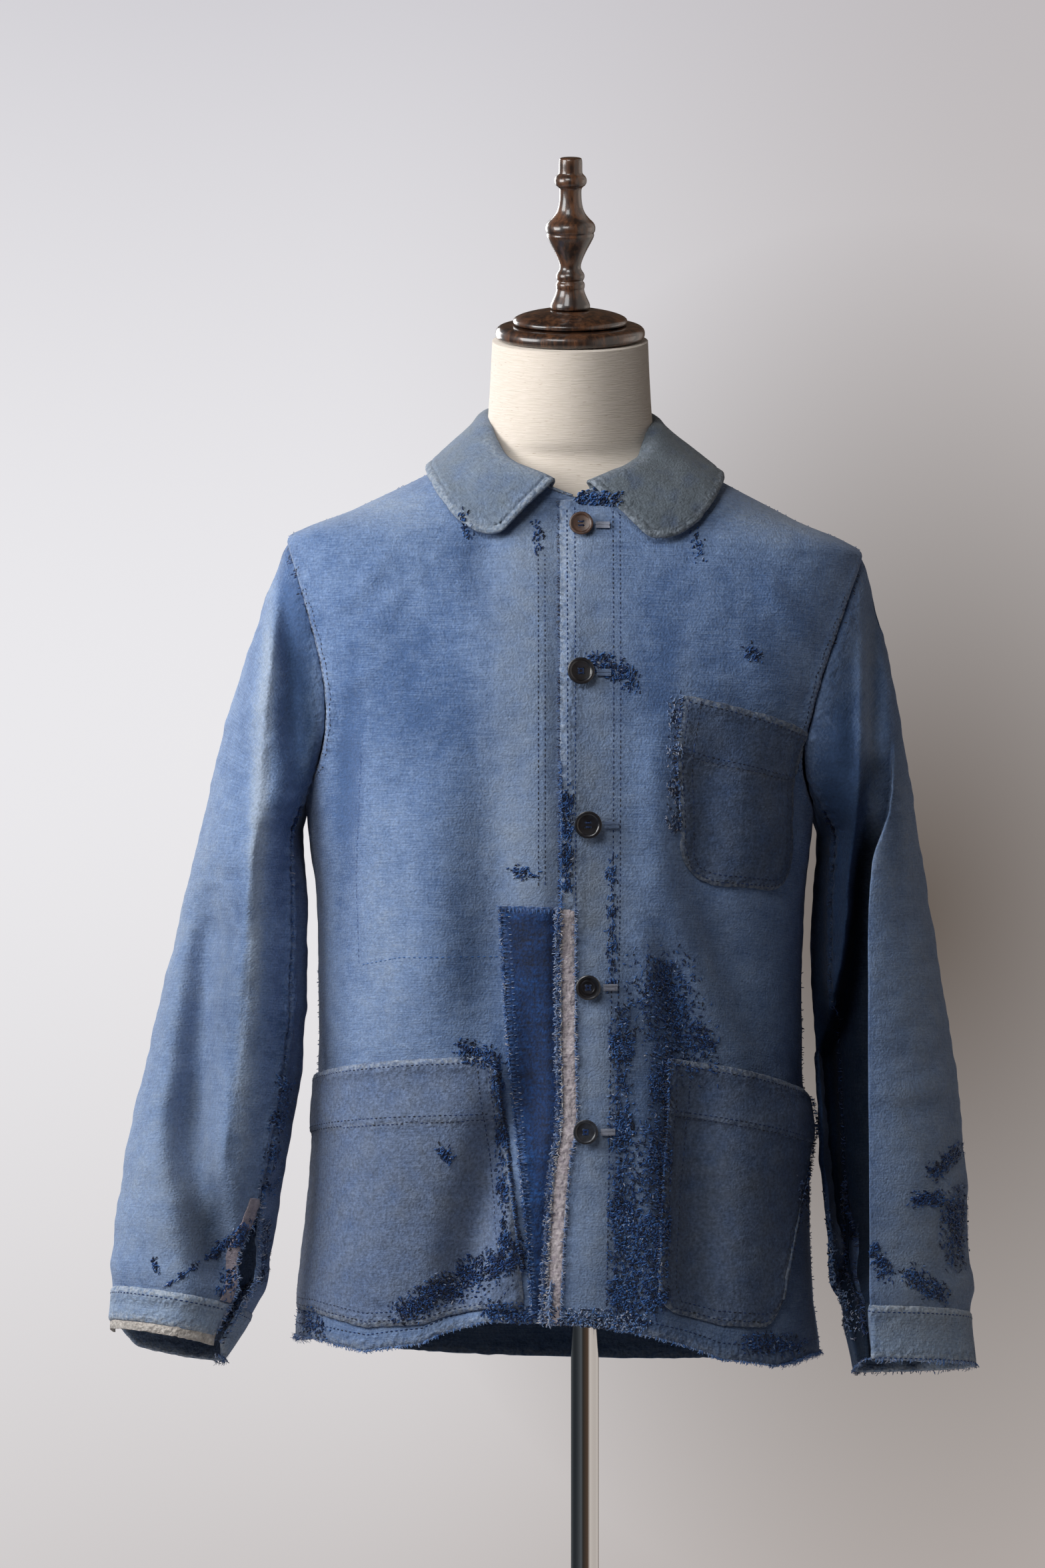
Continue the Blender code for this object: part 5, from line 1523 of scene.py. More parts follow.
pocket_lines = {}
for word, (top_in, top_out, low_in, low_out, *radii, band) in POCKETS.items():
    corners = (top_in, top_out, low_in, low_out)
    tall, width = top_in[1] - low_in[1], abs(top_in[0] - top_out[0])
    columns, rows = int(width * 1.15 / POCKET_GRID), int(tall / POCKET_GRID)
    share, down = np.broadcast_arrays(np.linspace(0, 1, columns)[None], np.linspace(0, 1, rows)[:, None])
    turns, levels = pocket_places(corners, radii, share, down)
    face = body_cloth(turns, levels, pocket_out(share, down, tall, band))
    face = face + grid_facing(face) * (0.0007 * crumple(face, 0.022, 8.0))[..., None]
    if top_in[0] < 0:
        face, turns, levels, share, down = (a[:, ::-1] for a in (face, turns, levels, share, down))
    pocket_lines[word] = (corners, radii, tall, band)
    x, z = face[..., 0] - LEAN, face[..., 2]
    around_it = np.concatenate([face[0], face[-1], face[:, 0], face[:, -1]])
    near = line_distance(face, around_it)
    band_line = face[np.abs(down[:, 0] - (1 - band / tall)).argmin()]
    near_band = line_distance(face, band_line)
    rub = 0.85 * mound(near - 0.001, 0.0024) + 0.3 * mound(near_band, 0.0018)
    pucker = mound(near - 0.005, 0.005) + 0.7 * mound(near_band, 0.005)
    # Painted shade: the pockets on the wearer's left, away from the light, are painted deeper and darker.
    deep = 0.25 * (x > 0) + 0.15 * (z > 0.86)
    marks = layered(near, wear=(0.05, 0.45, deep), edge=(rub, pucker, 0.05 + 0.34 * (x > 0)))
    marks["wear"] += 0.5 * worn(FRONT_WEAR, x, z)
    piece = sew(f"jacket_pocket_{word}", face, CLOTH, weave_flat(turns, levels), marks, POCKET_CLOTH, 0.0006)
    lay(piece, f"pocket_{word}", "moleskin_grey")


# The patch and the binding: a strip of newer, darker cotton whipped on beside the lap, and a strip of
# faded tape folded round the lap's worn edge below it.
PATCH_CLOTH = moleskin(
    "newer dark blue cotton", "#021430", "#043064", "#175497", "#0d3464", "#8597b8", 0.0030, 0.60
)
patch_outer = table(
    "height across",
    (0.686, -0.0325),
    (0.745, -0.037),
    (0.87, -0.05),
    (0.996, -0.0575),
)
heights = np.linspace(0.690, 0.992, 110)
edge_turn, _ = locate(smooth(patch_outer, "across", heights), heights)
turns = spread(edge_turn, lap_turn(heights, 0.004), 20)
levels = np.repeat(heights[:, None], 20, 1)
crinkle = 0.0012 * crumple(body(turns, levels) * (0.25, 0.25, 1), 0.006, 3.0)
out = PATCH_GAP + TRIM - tuck(turns, levels) + crinkle
face = body_cloth(turns, levels, out)
near = line_distance(face, np.concatenate([face[:, 0], face[-1]]))
marks = layered(
    near,
    wear=(0.15 + 0.2 * mound(near, 0.01), 0, 0.1),
    edge=(0.5 * mound(near, 0.003), mound(near, 0.01), 0),
)
patch_face = face
piece = sew("jacket_patch", face, TRIM, weave_flat(turns, levels), marks, PATCH_CLOTH, 0.0006)
lay(piece, "patch_front", "patch_cloth")

heights = np.linspace(HEM - 0.001, 0.990, 150)
turns = spread(lap_turn(heights, -0.0006), lap_turn(heights, 0.0098), 7)
levels = np.repeat(heights[:, None], 7, 1)
face = body_cloth(turns, levels, 0.0004 + TRIM + 0.0005 * crumple(body(turns, levels), 0.006, 2.0))
marks = layered(turns, wear=(0.2, 0.2, 0), edge=(0.6, 1, 0))
piece = sew("jacket_binding", face, TRIM, weave_flat(turns, levels), marks, TAPE, 0.0010)
lay(piece, "placket_binding", "faded_tape")


# The threads: cotton sewing and darning thread, each stitch a short arched strand that a node tree
# sets on the cloth. First the seams' topstitching, in pairs of lines about 6 mm apart.
THREAD = 0.00056
STITCH = 0.0026
STITCH_GAP = 0.0040


def thread_tree():
    """A tree that turns each carrier point into an arched strand of thread, lying along its own axis."""
    tree = bpy.data.node_groups.new("sewn threads", "GeometryNodeTree")
    sockets = {}
    kinds = {"Carrier": "Geometry", "Thickness": "Float", "Rise": "Float", "Finish": "Material"}
    for name, kind in kinds.items():
        made = tree.interface.new_socket(name, in_out="INPUT", socket_type=f"NodeSocket{kind}")
        sockets[name] = made.identifier
    tree.interface.new_socket("Threads", in_out="OUTPUT", socket_type="NodeSocketGeometry")
    given = add(tree, "NodeGroupInput").outputs
    peak = add(tree, "CombineXYZ", {2: given["Rise"]})
    arch = add(tree, "GeometryNodeCurveQuadraticBezier", {0: 3, 1: (-0.5, 0, 0), 2: peak, 3: (0.5, 0, 0)})
    profile = add(tree, "GeometryNodeCurvePrimitiveCircle", {0: 3, 4: given["Thickness"]})
    shape = {"Curve": arch, "Profile Curve": profile, "Fill Caps": True}
    strand = add(tree, "GeometryNodeCurveToMesh", shape)
    out, along, size = (
        add(tree, "GeometryNodeInputNamedAttribute", {0: name}, data_type="FLOAT_VECTOR")
        for name in ("out", "along", "size")
    )
    turn = add(tree, "FunctionNodeAxesToRotation", {0: out, 1: along}, primary_axis="Z", secondary_axis="X")
    strands = {"Points": given["Carrier"], "Instance": strand, "Rotation": turn, "Scale": size}
    laid = add(tree, "GeometryNodeInstanceOnPoints", strands)
    real = add(tree, "GeometryNodeRealizeInstances", {0: laid})
    soft = add(tree, "GeometryNodeSetShadeSmooth", {0: real})
    done = add(tree, "GeometryNodeSetMaterial", {"Geometry": soft, "Material": given["Finish"]})
    add(tree, "NodeGroupOutput", {0: done})
    return tree, sockets


SEWN_THREADS, THREAD_SOCKETS = thread_tree()

# Cotton thread, mercerised and faded unevenly: it keeps a slight sheen, and each strand its own shade
DYES = {0: "#0b1222", 0.2: "#19407f", 0.45: "#4173b8", 0.7: "#90a6ca", 0.85: "#c9c6cc", 1: "#e2dcd4"}
COTTON_THREAD, tree, shader = material(
    "cotton thread", Roughness=0.72, Specular_IOR_Level=0.3, Sheen_Weight=0.25, Sheen_Roughness=0.5
)
shade = add(tree, "Attribute", attribute_name="shade").outputs["Fac"]
dyed = add(tree, "ValToRGB", {0: shade})
set_stops(dyed, DYES)
place = add(tree, "TexCoord").outputs["Object"]
ply = add(tree, "TexNoise", {0: place, 2: 2500.0, 3: 1.0})
bump = add(tree, "Bump", {"Height": ply, "Strength": 0.35, "Distance": 0.0002})
plug(tree, shader, {"Base Color": dyed, "Normal": bump})


def stitch(name, places, along, out, sizes, shades, thick=THREAD, rise=0.3):
    """Makes one piece of many strands: their middles, directions, lengths and shades, as arrays."""
    carrier = bpy.data.meshes.new(name)
    carrier.from_pydata(places.tolist(), [], [])
    length = np.broadcast_to(sizes, len(places))
    size = np.stack([length, np.ones(len(places)), length], -1)
    for key, values in (("along", along), ("out", out), ("size", size)):
        carrier.attributes.new(key, "FLOAT_VECTOR", "POINT").data.foreach_set("vector", values.ravel())
    tone = carrier.attributes.new("shade", "FLOAT", "POINT")
    tone.data.foreach_set("value", np.broadcast_to(shades, len(places)).astype(float).ravel())
    holder = bpy.data.objects.new(name, carrier)
    scene.collection.objects.link(holder)
    sewing = holder.modifiers.new("sewing", "NODES")
    sewing.node_group = SEWN_THREADS
    for key, value in (("Thickness", thick), ("Rise", rise), ("Finish", COTTON_THREAD)):
        sewing[THREAD_SOCKETS[key]] = value
    seen = holder.evaluated_get(bpy.context.evaluated_depsgraph_get())
    made = bpy.data.objects.new(name, bpy.data.meshes.new_from_object(seen))
    bpy.data.objects.remove(holder)
    made.name = made.data.name = name
    scene.collection.objects.link(made)
    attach(made, "root")
    return made


def resample(line, step):
    """Evenly spaced points along a line, with the directions there."""
    run = np.r_[0, np.linalg.norm(np.diff(line, axis=0), axis=1).cumsum()]
    at = np.arange(step / 2, run[-1], step)
    places = np.stack([np.interp(at, run, line[:, k]) for k in range(3)], -1)
    ahead = np.stack([np.interp(np.minimum(at + step / 4, run[-1]), run, line[:, k]) for k in range(3)], -1)
    behind = np.stack([np.interp(np.maximum(at - step / 4, 0), run, line[:, k]) for k in range(3)], -1)
    return places, unit(ahead - behind)


def cloth_tree():
    """All the cloth's faces so far, for finding the topmost piece at a place."""
    points, faces, start = [], [], 0
    for obj in scene.collection.all_objects:
        if obj.type == "MESH" and obj.name.startswith("jacket") and obj.data.polygons:
            points += [tuple(v.co) for v in obj.data.vertices]
            faces += [tuple(start + i for i in p.vertices) for p in obj.data.polygons]
            start = len(points)
    return BVHTree.FromPolygons(points, faces)


def press(tree, places, aim):
    """Drops places onto the outermost cloth along an aim, returning those found and their facings."""
    on, facing, kept = [], [], []
    aim = Vector(aim)
    for number, place in enumerate(places):
        hit, normal, _, _ = tree.ray_cast(Vector(place) - aim * 0.6, aim, 0.9)
        if hit is not None and normal.dot(aim) < 0.2:
            on.append(tuple(hit))
            facing.append(tuple(normal))
            kept.append(number)
    return np.array(on), np.array(facing), np.array(kept, int)


CLOTH_TREE = cloth_tree()
seams = []


def nearest_cloth(places):
    """The nearest points of the cloth to some places, and its facings there."""
    on, facing = zip(*(CLOTH_TREE.find_nearest(Vector(place))[:2] for place in places))
    return np.array(on), np.array(facing)


def topstitch(line, shade, step=STITCH_GAP):
    """Adds a line of stitches: the facing is taken from the cloth beside it."""
    places, along = resample(line, step)
    on, facing = nearest_cloth(places)
    seams.append((on, along, facing, np.full(len(on), shade)))


def ahead_line(*places):
    """A line on the outermost cloth in front, through places given across and high."""
    points = np.array([(x + LEAN, 0.0, z) for x, z in places])
    even, _ = resample(points, 0.004)
    on, _, _ = press(CLOTH_TREE, even, (0, 1, 0))
    return on


# Placket, facing and armholes in front, then the body's own edges and seams
heights = np.linspace(HEM + 0.006, 1.296, 160)
for across, lowest in ((0.0045, 1.0), (0.0105, 0.70)):
    rows = heights[heights > lowest]
    topstitch(lap_line_at(rows, across, CLOTH), 0.34)
for x in (0.0284, 0.0337):
    topstitch(ahead_line((x, 1.296), (x - 0.001, 1.0), (x - 0.006, 0.69)), 0.22)
for x in (-0.0286, -0.0236):
    topstitch(ahead_line((x, 1.262), (x, 1.004)), 0.20)
for side, line in ARMHOLES.items():
    ahead = unit(np.gradient(line, axis=0))
    _, out = nearest_cloth(np.float32(line) - np.float32((side * 0.004, 0, 0)))
    inward = unit(np.cross(ahead, out))
    inward *= np.sign(inward[:, :1] * -side + 1e-6)
    for inset in (0.0035, 0.0100):
        seam, _ = nearest_cloth(line + inward * inset)
        topstitch(seam[8:-8], 0.20)
for low, high in ((HEM + 0.004, PIT - 0.004), (SHOULDER + 0.004, 1.338)):
    for side in (-1, 1):
        for aside in (0.0035, 0.0095):
            rows = np.linspace(low, high, 120)
            topstitch(body_cloth(side * (0.25 + aside / (2 * pi * BODY_RADIUS)), rows), 0.26)
for turn in (np.linspace(-0.25, -0.03, 260), np.linspace(0.012, 0.25, 260), np.linspace(0.25, 0.75, 400)):
    topstitch(body_cloth(turn, HEM + 0.0095), 0.28)
for word, (corners, radii, tall, band) in pocket_lines.items():
    for inset in (0.003, 0.0085):
        share_in = inset / abs(corners[2][0] - corners[3][0])
        foot_in = inset / tall
        path = [(share_in, d) for d in np.linspace(0.995, 0.10, 60)]
        path += [(s, foot_in) for s in np.linspace(share_in + 0.04, 1 - share_in - 0.04, 60)]
        path += [(1 - share_in, d) for d in np.linspace(0.10, 0.995, 60)]
        share, down = np.array(path).T
        turns, levels = pocket_places(corners, radii, share, down)
        topstitch(body_cloth(turns, levels, pocket_out(share, down, tall, band)), 0.24)
    for drop in (0.004, band - 0.004, band + 0.0015):
        share = np.linspace(0.03, 0.97, 70)
        turns, levels = pocket_places(corners, radii, share, 1 - drop / tall + 0 * share)
        topstitch(body_cloth(turns, levels, pocket_out(share, 0 * share + 0.9, tall, band)), 0.24)
COLLAR_INSET = 0.0045
row = int(round(COLLAR_INSET / np.linalg.norm(collar_face[1, 60] - collar_face[0, 60])))
run = np.linalg.norm(np.diff(collar_face[0], axis=0), axis=1)
column = int(round(COLLAR_INSET / run[:6].mean()))
sides = collar_face[26:row:-1, column], collar_face[row:26, -column - 1]
topstitch(np.concatenate([sides[0], collar_face[row, column:-column], sides[1]]), 0.32)
for side, word in SIDE_WORDS.items():
    around = np.linspace(CUFF_FROM + 0.01, CUFF_TO - 0.01, 160)
    for below_top in (0.0035, 0.0365)[: 1 if side < 0 else 2]:
        down = down_of(side, CUFF_TOP[side] - below_top) + 0 * around
        topstitch(sleeve(side, around, down, CUFF_OUT), 0.34)
    for aside in (-0.010, -0.022):
        rows = np.linspace(0.02, down_of(side, CUFF_TOP[side]), 220)
        topstitch(sleeve(side, BACK_SEAM + aside + 0 * rows, rows), 0.26)
topstitch(ahead_line((-0.1626, 1.1105), (-0.167, 1.0145), (-0.1646, 0.9475)), 0.40, step=0.0045)
topstitch(ahead_line((-0.1646, 0.9475), (-0.1336, 0.9545), (-0.0586, 0.9555)), 0.62, step=0.0045)
places, along, out, shades = (np.concatenate(values) for values in zip(*seams))
rng = np.random.default_rng(3)
shades = shades + rng.normal(0, 0.05, len(shades))
stitch("jacket_topstitching", places - out * 0.0001, along, out, STITCH, np.clip(shades - 0.16, 0, 1))

# The darning: worn places worked over with short blue threads, some crossing, some pulled into knots.
# Each place is a soft line from one end to the other, with a reach to each side, as seen from in front.
DARNS = table(
    "x0 z0 x1 z1 reach count shade tilt",
    (-48, 1019, -32, 1017, 3.5, 40, 0.3, 0.2),
    (-8, 1083, -8.5, 1005, 3, 300, 0.32, 1.2),
    (8, 1180, 40, 1166, 5, 170, 0.26, 0.3),
    (38, 1170, 42, 1156, 4, 34, 0.3, 1.2),
    (131, 1186, 134, 1180, 4.5, 36, 0.26, 0.7),
    (-86, 1292, -82, 1270, 3, 26, 0.28, 1.3),
    (-30, 1282, -28, 1262, 3.5, 34, 0.28, 1.3),
    (92, 1276, 94, 1256, 3, 26, 0.28, 1.3),
    (60, 942, 82, 880, 15, 620, 0.27, 0.9),
    (62, 950, 66, 925, 6, 110, 0.25, 1.2),
    (92, 900, 100, 884, 6, 90, 0.27, 0.6),
    (34, 918, 32, 690, 5.5, 1150, 0.33, 1.3),
    (64, 885, 60, 690, 5, 850, 0.3, 1.3),
    (46, 760, 44, 690, 9, 420, 0.3, 1.2),
    (-132, 686, -107, 702, 6, 260, 0.22, 0.5),
    (-107, 702, -42, 733, 7, 620, 0.2, 0.5),
    (-88, 886, -60, 878, 5, 150, 0.28, 0.4),
    (-60, 878, -54, 735, 2.6, 330, 0.3, 1.2),
    (-101, 810, -96, 804, 3, 50, 0.28, 0.8),
    (-211, 676, -196, 668, 6, 150, 0.3, 0.4),
    (128, 664, 172, 656, 5, 220, 0.3, 0.3),
    (-14, 680, 46, 678, 7, 560, 0.55, 0.9),
    (74, 1150, 73, 1050, 3.5, 260, 0.66, 1.5),
    (-68, 690, -34, 684, 5, 220, 0.32, 0.6),
    (26, 1030, 26, 930, 2.5, 160, 0.34, 1.4),
    (50, 830, 52, 750, 11, 260, 0.3, 1),
    (-220, 868, -234.5, 772, 4, 240, 0.46, 0.1),
    (-236.5, 752, -237.5, 712, 2, 130, 0.68, 0.2),
    (-237.5, 712, -259, 688, 2, 140, 0.68, 0.9),
    (-259, 688, -270, 664, 2, 110, 0.66, 0.3),
    (-319, 727, -316, 719, 1.4, 22, 0.28, 0.9),
    (-310, 707, -278, 728, 1.1, 60, 0.28, 0.5),
    (-278, 728, -255, 743, 2.8, 110, 0.26, 0.5),
    (-250, 750, -254, 738, 4, 90, 0.3, 1),
    (-262, 716, -268, 702, 4, 70, 0.3, 1),
    (268, 790, 296, 808, 4, 170, 0.26, 0.6),
    (254, 772, 276, 772, 3.5, 120, 0.26, 0.4),
    (290, 772, 288, 726, 8, 380, 0.28, 1),
    (220, 738, 234, 716, 4, 110, 0.3, 0.8),
    (248, 718, 278, 698, 5, 170, 0.3, 0.6),
    (178, 780, 192, 734, 6, 360, 0.62, 1.1),
    (192, 734, 208, 668, 6, 420, 0.6, 1.1),
    (0, 1304, 32, 1302, 3, 160, 0.34, 0.7),
    in_mm=5,
)
CROSSED_PAST = 0.0045
rng = np.random.default_rng(11)
groups = {"high": [], "low": [], "sleeves": []}
for x0, z0, x1, z1, reach, count, tone, tilt in zip(*DARNS.values()):
    count = int(1.5 * count)
    share = rng.random(count)
    share = share + 0.06 * np.sin(share * 23)
    spot = np.stack([x0 + (x1 - x0) * share, 0 * share, z0 + (z1 - z0) * share], -1)
    spot += np.clip(rng.normal(0, 0.85, (count, 3)), -1.7, 1.7) * (reach, 0, reach)
    spot += (LEAN, 0, 0)
    on, out, kept = press(CLOTH_TREE, spot, (0, 1, 0))
    if not len(on):
        continue
    angle = rng.normal(0, 0.5, len(on)) + tilt
    angle += rng.integers(0, 2, len(on)) * (pi / 2 if reach > CROSSED_PAST else 0)
    along = unit(np.stack([np.cos(angle), rng.normal(0, 0.2, len(on)), np.sin(angle)], -1))
    sizes = rng.uniform(0.0014, 0.0036, len(on))
    tones = np.clip(tone + rng.normal(0, 0.10, len(on)), 0, 1)
    lot = rng.random(len(on))
    # Three in ten strands are near black: painted shade between the darning threads.
    tones = np.where(lot < 0.30, rng.uniform(0.0, 0.10, len(on)), tones)
    tones = np.where(lot > (0.97 if tone < 0.5 else 0.65), rng.uniform(0.55, 0.8, len(on)), tones)
    where = "low" if z1 < 0.75 else "high"
    if abs(x0) > 0.175 and not (-0.215 < x0 < -0.19):
        where = "sleeves"
    groups[where].append((on, along, out, sizes, tones))
for where, rows in groups.items():
    on, along, out, sizes, tones = (np.concatenate(values) for values in zip(*rows))
    stitch(f"jacket_darning_{where}", on + out * 0.0002, along, out, sizes, tones, 0.00066, 0.8)


# The frayed edges: short whiskers of the cloth's own broken threads, standing out along worn edges,
# and the whip stitches that hold the dark patch and the tape, one every 3 mm.
frayed_threads = []
rng = np.random.default_rng(23)


def fray(line, away, count, size, tone, spread_out=0.6):
    """Scatters whiskers along a line, pointing away from the cloth, with the cloth's facing beside it."""
    at = rng.random(count) * (len(line) - 1.001)
    low = at.astype(int)
    places = line[low] + (line[low + 1] - line[low]) * (at - low)[:, None]
    out = unit(nearest_cloth(places)[1])
    along = unit(away + rng.normal(0, spread_out, (count, 3)))
    sizes = rng.uniform(0.4, 1.3, count) * size
    out = unit(out - along * (out * along).sum(1, keepdims=True))
    tones = np.clip(tone + rng.normal(0, 0.12, count), 0, 1)
    frayed_threads.append((places + along * sizes[:, None] * 0.3, along, out, sizes, tones))


def whip(line, away, size, tone, step=0.003):
    """Stitches over an edge, square to it and a little uneven."""
    places, _ = resample(line, step)
    away = unit(away + rng.normal(0, 0.16, places.shape))
    _, out = nearest_cloth(places)
    tones = np.clip(tone + rng.normal(0, 0.08, len(places)), 0, 1)
    sizes = size * rng.uniform(0.8, 1.2, len(places))
    frayed_threads.append((places + out * 0.0003, away, out, sizes, tones))


DOWN, RIGHTWARD = np.array((0, 0, -1.0)), np.array((1.0, 0, 0))
for turn, count in ((np.linspace(-0.25, -0.03, 300), 420), (np.linspace(0.012, 0.25, 300), 420)):
    fray(body_cloth(turn, HEM), DOWN, count, 0.0030, 0.52)
fray(body_cloth(np.linspace(-0.25, -0.19, 60), HEM), DOWN, 160, 0.0055, 0.5)
fray(body_cloth(np.linspace(0.14, 0.25, 60), HEM), DOWN, 220, 0.0050, 0.5)
for side in (-1, 1):
    fray(body_cloth(side * 0.25, np.linspace(HEM, 0.96, 200)), side * RIGHTWARD, 260, 0.0042, 0.55)
    fray(body_cloth(side * 0.25, np.linspace(SHOULDER, 1.335, 100)), DOWN * -1, 170, 0.0032, 0.5)
    rows = np.linspace(down_of(side, VENT_TOP), 1.96, 120)
    opening = vent(sleeve_height(side, rows))
    # Painted shade: the left sleeve's whiskers, on the side away from the light, are made dark.
    vent_tone, seam_tone = (0.62, 0.50) if side < 0 else (0.12, 0.10)
    for edge_at in (FRONT_SEAM - opening, FRONT_SEAM + opening):
        fray(sleeve(side, edge_at, rows, 0.001), -side * RIGHTWARD, 210, 0.0042, vent_tone, 0.9)
    rows = np.linspace(0.55, down_of(side, VENT_TOP), 160)
    fray(sleeve(side, FRONT_SEAM, rows, 0.001), -side * RIGHTWARD, 260, 0.0036, seam_tone, 0.9)
around = np.linspace(CUFF_FROM, CUFF_TO, 300)
fray(sleeve(1, around, 2 + 0 * around, 0.001), DOWN, 420, 0.0042, 0.6)
fray(sleeve(-1, around[:60], 2 + 0 * around[:60], 0.001), DOWN, 120, 0.0050, 0.6)
rows = np.linspace(HEM, 0.992, 200)
fray(lap_line_at(rows, -0.0004, 0.0020), -RIGHTWARD, 700, 0.0034, 0.80, 0.9)
fray(lap_line_at(rows, 0.0100, 0.0020), RIGHTWARD, 700, 0.0034, 0.66, 0.9)
fray(lap_line_at(rows, -0.0030, 0.0014), -RIGHTWARD, 1500, 0.0046, 0.66, 1.2)
fray(lap_line_at(rows, -0.0015, 0.0020), -RIGHTWARD, 500, 0.0046, 0.25, 1.2)
fray(lap_line_at(np.linspace(0.99, 1.10, 80), 0, 0.001), -RIGHTWARD, 220, 0.0034, 0.40, 0.9)
fray(lap_line_at(np.linspace(HEM, HEM + 0.03, 30), 0.002, 0.002), DOWN, 160, 0.0060, 0.62, 0.8)
fray(collar_face[14:, 3], -RIGHTWARD, 60, 0.0026, 0.7)
fray(collar_face[14:, -4], RIGHTWARD, 60, 0.0026, 0.7)
fray(neckband_face[-1, 4:60], DOWN * -1, 120, 0.0030, 0.35)
fray(neckband_face[-1, -60:-4], DOWN * -1, 120, 0.0030, 0.35)
for word, (corners, radii, tall, band) in pocket_lines.items():
    outward = RIGHTWARD * (-1 if corners[0][0] > 0 else 1)
    pale, dark = (90, 160) if word == "chest" else (260, 420)
    for share_at in (0, 1) if word == "left" else (0,):
        down = np.linspace(0.12, 1.0, 80)
        share = share_at + 0 * down
        line = body_cloth(*pocket_places(corners, radii, share, down), pocket_out(share, down, tall, band))
        fray(line, outward, pale, 0.0028, 0.45)
        # Near-black whiskers just outside the edges stand in for the shadow under them: painted shadow.
        fray(line + outward * 0.0012, outward, dark, 0.0030, 0.04)
        outward = -outward
whip(patch_face[:, 1], RIGHTWARD, 0.0042, 0.42)
whip(patch_face[:, 3], RIGHTWARD, 0.0020, 0.62, 0.0045)
whip(patch_face[-2], DOWN, 0.0036, 0.36)
rows = np.linspace(down_of(-1, 0.757), 1.93, 60)
vent_edge = sleeve(-1, FRONT_SEAM + vent(sleeve_height(-1, rows)), rows, 0.001)
whip(vent_edge, RIGHTWARD + DOWN * 0.4, 0.0046, 0.62, 0.0026)
# Near-black whiskers beside the upper lapped edge stand in for its shadow: painted shadow.
fray(lap_line_at(np.linspace(0.992, 1.30, 90), -0.0014, 0.0004), -RIGHTWARD, 260, 0.0030, 0.05)
fray(patch_face[:, 0], -RIGHTWARD, 900, 0.0034, 0.36, 1.1)
fray(patch_face[:, 0], -RIGHTWARD, 260, 0.0034, 0.68, 1.1)
fray(patch_face[:, -1], -RIGHTWARD, 300, 0.0030, 0.10, 1.1)
parts = [np.concatenate(values) for values in zip(*frayed_threads)]
lower = parts[0][:, 2] < 0.86
for word, chosen in (("low", lower), ("high", ~lower)):
    stitch(f"jacket_frayed_threads_{word}", *(part[chosen] for part in parts), 0.00040, 0.5)


# The buttons: five of horn and dark plastic, none a match, each turned with a raised rim, drilled with
# four holes, and sewn through with thread. The first is brown horn, and the fourth has a second ring.
BUTTONS = table(
    "across height diameter rim ring holes",
    (0.0039, 1.2813, 0.0183, 0.0022, 0, 0.0017),
    (0.003, 1.1676, 0.0206, 0.0026, 0, 0.0019),
    (0.0085, 1.0544, 0.0206, 0.0024, 0, 0.0019),
    (0.0085, 0.9327, 0.0188, 0.002, 1, 0.0017),
    (0.0066, 0.8245, 0.0186, 0.0022, 0, 0.0018),
)
BUTTON_THICK = 0.0032
HOLE_APART = 1.008


def button_colour(name, deep, pale, rough):
    """Pressed horn or plastic: faint clouds in its depth, fine scratches, and a worn, satin face."""
    made, tree, shader = material(name, Roughness=rough, IOR=1.55, Coat_Weight=0.35, Coat_Roughness=0.2)
    place = add(tree, "TexCoord").outputs["Object"]
    cloud = add(tree, "TexNoise", {0: place, 2: 260.0, 3: 4.0})
    share = add(tree, "MapRange", {0: cloud, 1: 0.35, 2: 0.7})
    colour = add(tree, "Mix", {0: share, 6: deep, 7: pale}, data_type="RGBA")
    scratch = add(tree, "TexNoise", {0: place, 2: 2200.0, 3: 2.0})
    bump = add(tree, "Bump", {"Height": scratch, "Strength": 0.25, "Distance": 0.0001})
    plug(tree, shader, {"Base Color": colour, "Normal": bump})
    return made


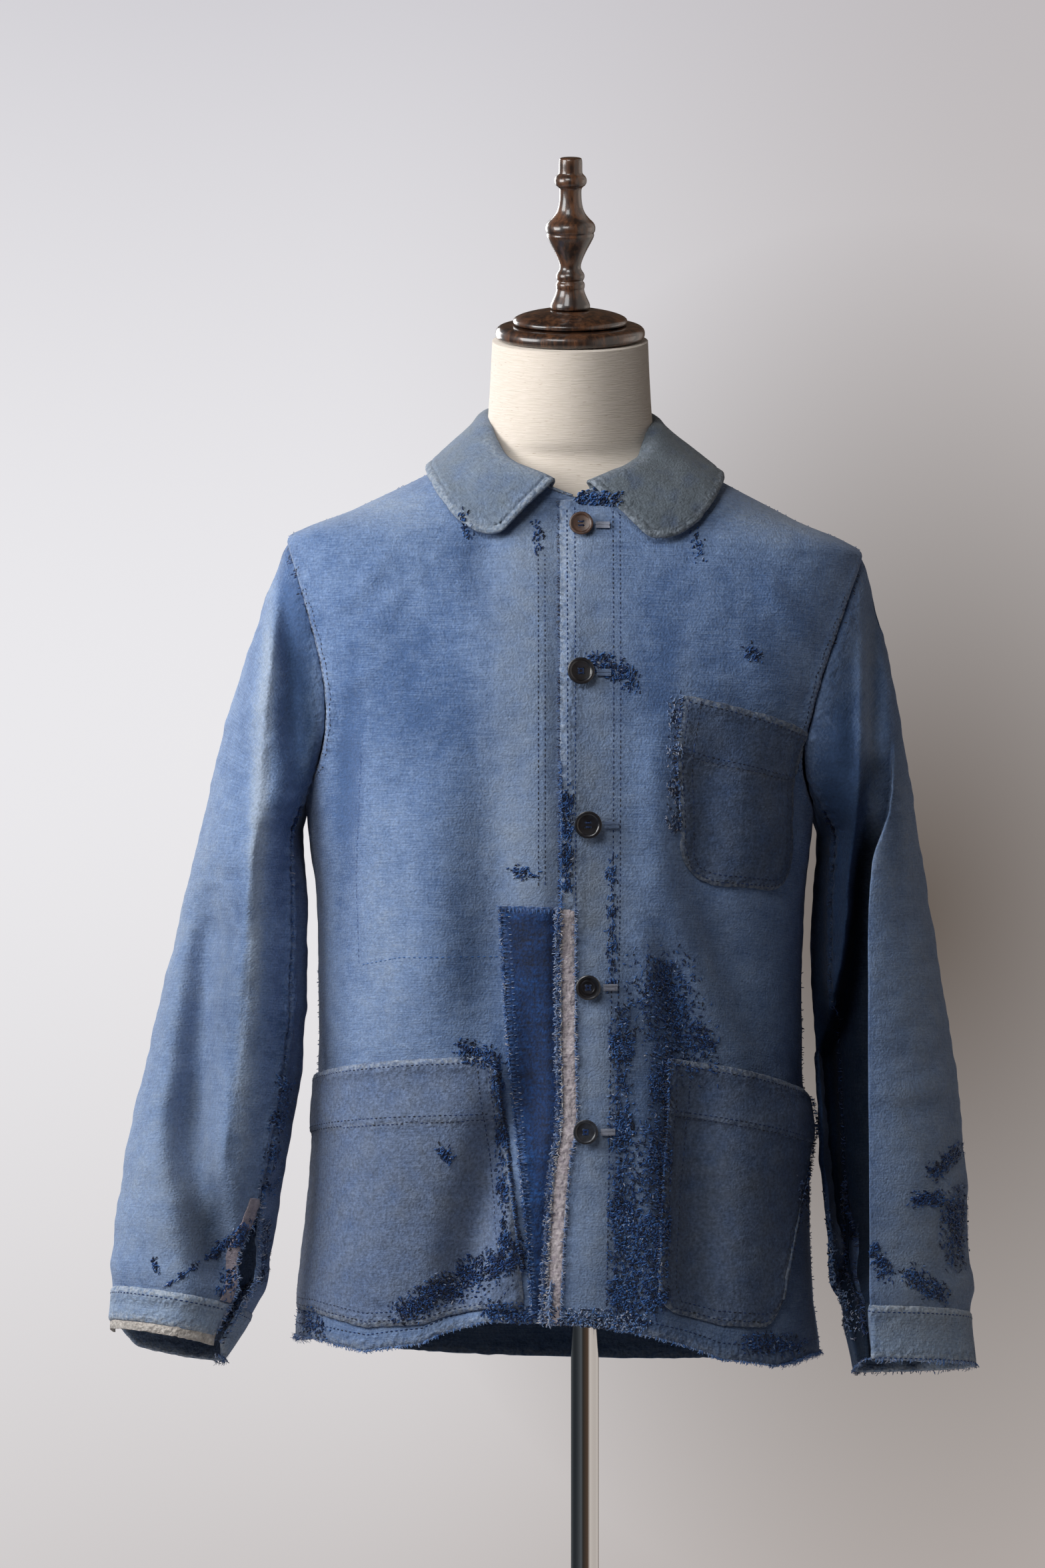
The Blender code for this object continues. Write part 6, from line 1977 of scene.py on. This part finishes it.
HORN = button_colour("brown horn", "#33211a", "#5d4030", 0.42)
BLACK_PLASTIC = button_colour("black pressed plastic", "#0c0d12", "#1d2029", 0.30)
GREY_PLASTIC = button_colour("greyed black plastic", "#14171f", "#2e343f", 0.40)
sewn = []
for number, (across, high, wide, rim, ring, hole) in enumerate(zip(*BUTTONS.values()), 1):
    turn, level = locate(across, high)
    seat = body_cloth(turn, level, CLOTH + 0.0009)
    facing = unit(body_facing(turn, level) + (0.10 if number == 2 else 0, 0, 0.04 * (number - 3)))
    right = unit(np.cross((0, 0, 1), facing))
    frame = Matrix((right, np.cross(facing, right), facing)).transposed().to_4x4()
    frame.translation = Vector(seat)
    r = wide / 2
    edge_line = [(0, 0), (r * 0.80, 0), (r * 0.96, 0.35), (r, 0.62), (r * 0.985, 0.88)]
    rim_line = [(r - rim * 0.45, 1), (r - rim, 0.90), (r - rim * 1.25, 0.66)]
    ring_line = [(r * 0.62, 0.62), (r * 0.58, 0.80), (r * 0.50, 0.80), (r * 0.46, 0.58)] if ring else []
    outline = edge_line + rim_line + ring_line + [(r * 0.40, 0.55), (0, 0.50)]
    profile = [(BUTTON_THICK * share * 1000, radius * 1000) for radius, share in outline]
    made = turned(f"jacket_button_{number}", profile, 48, frame, 40)
    drill = bmesh.new()
    bore = {"cap_ends": True, "segments": 14, "radius1": hole / 2, "radius2": hole / 2}
    for i in (-1, 1):
        for j in (-1, 1):
            offset = (i * hole * HOLE_APART, j * hole * HOLE_APART, BUTTON_THICK / 2)
            place = frame @ Matrix.Translation(offset)
            bmesh.ops.create_cone(drill, depth=BUTTON_THICK * 2, matrix=place, **bore)
    cutter = bpy.data.objects.new("drill", bpy.data.meshes.new("drill"))
    drill.to_mesh(cutter.data)
    scene.collection.objects.link(cutter)
    bored = made.modifiers.new("holes", "BOOLEAN")
    bored.operation, bored.solver, bored.object = "DIFFERENCE", "EXACT", cutter
    seen = made.evaluated_get(bpy.context.evaluated_depsgraph_get())
    shape = bpy.data.meshes.new_from_object(seen)
    made.modifiers.clear()
    made.data = shape
    bpy.data.objects.remove(cutter)
    made.data.materials.clear()
    finish = {1: HORN, 5: GREY_PLASTIC}.get(number, BLACK_PLASTIC)
    fit(made, f"button_{number}", "button_brown" if number == 1 else "button_dark", finish)
    face_at = np.array(frame.to_3x3()).T
    tone = 0.20 if number == 5 else 0.10
    for i, j, run in ((0, 1, 0), (0, -1, 0), (1, 0, 1), (-1, 0, 1)):
        if number in (1, 3) and run:
            continue
        middle = seat + face_at[0] * i * hole * 0.84 + face_at[1] * j * hole * 0.84
        ahead, sideways = face_at[run], face_at[1 - run]
        for aside in (-0.0003, 0.0003):
            place = middle + sideways * aside + facing * BUTTON_THICK * 0.55
            sewn.append((place, ahead, facing, hole * 1.9, tone))
    tone = 0.78 if number in (1, 4, 5) else 0.66
    for share in np.linspace(0.004, 0.0155, 22):
        x = across + wide * 0.42 + share * 0.9
        for above in (-0.0013, 0.0013):
            turn, level = locate(x, high + above)
            place = body_cloth(turn, level, CLOTH)
            sewn.append((place, -DOWN, body_facing(turn, level), 0.0026, tone))
        # Near-black strands along the slit stand in for its shade: painted shade.
        turn, level = locate(x, high)
        place = body_cloth(turn, level, CLOTH * 0.9)
        sewn.append((place, RIGHTWARD, body_facing(turn, level), 0.0016, 0.02))
places, along, out, sizes, shades = (np.array(values) for values in zip(*sewn))
stitch("jacket_button_threads", places, along, out, sizes, shades, 0.00032, 0.25)
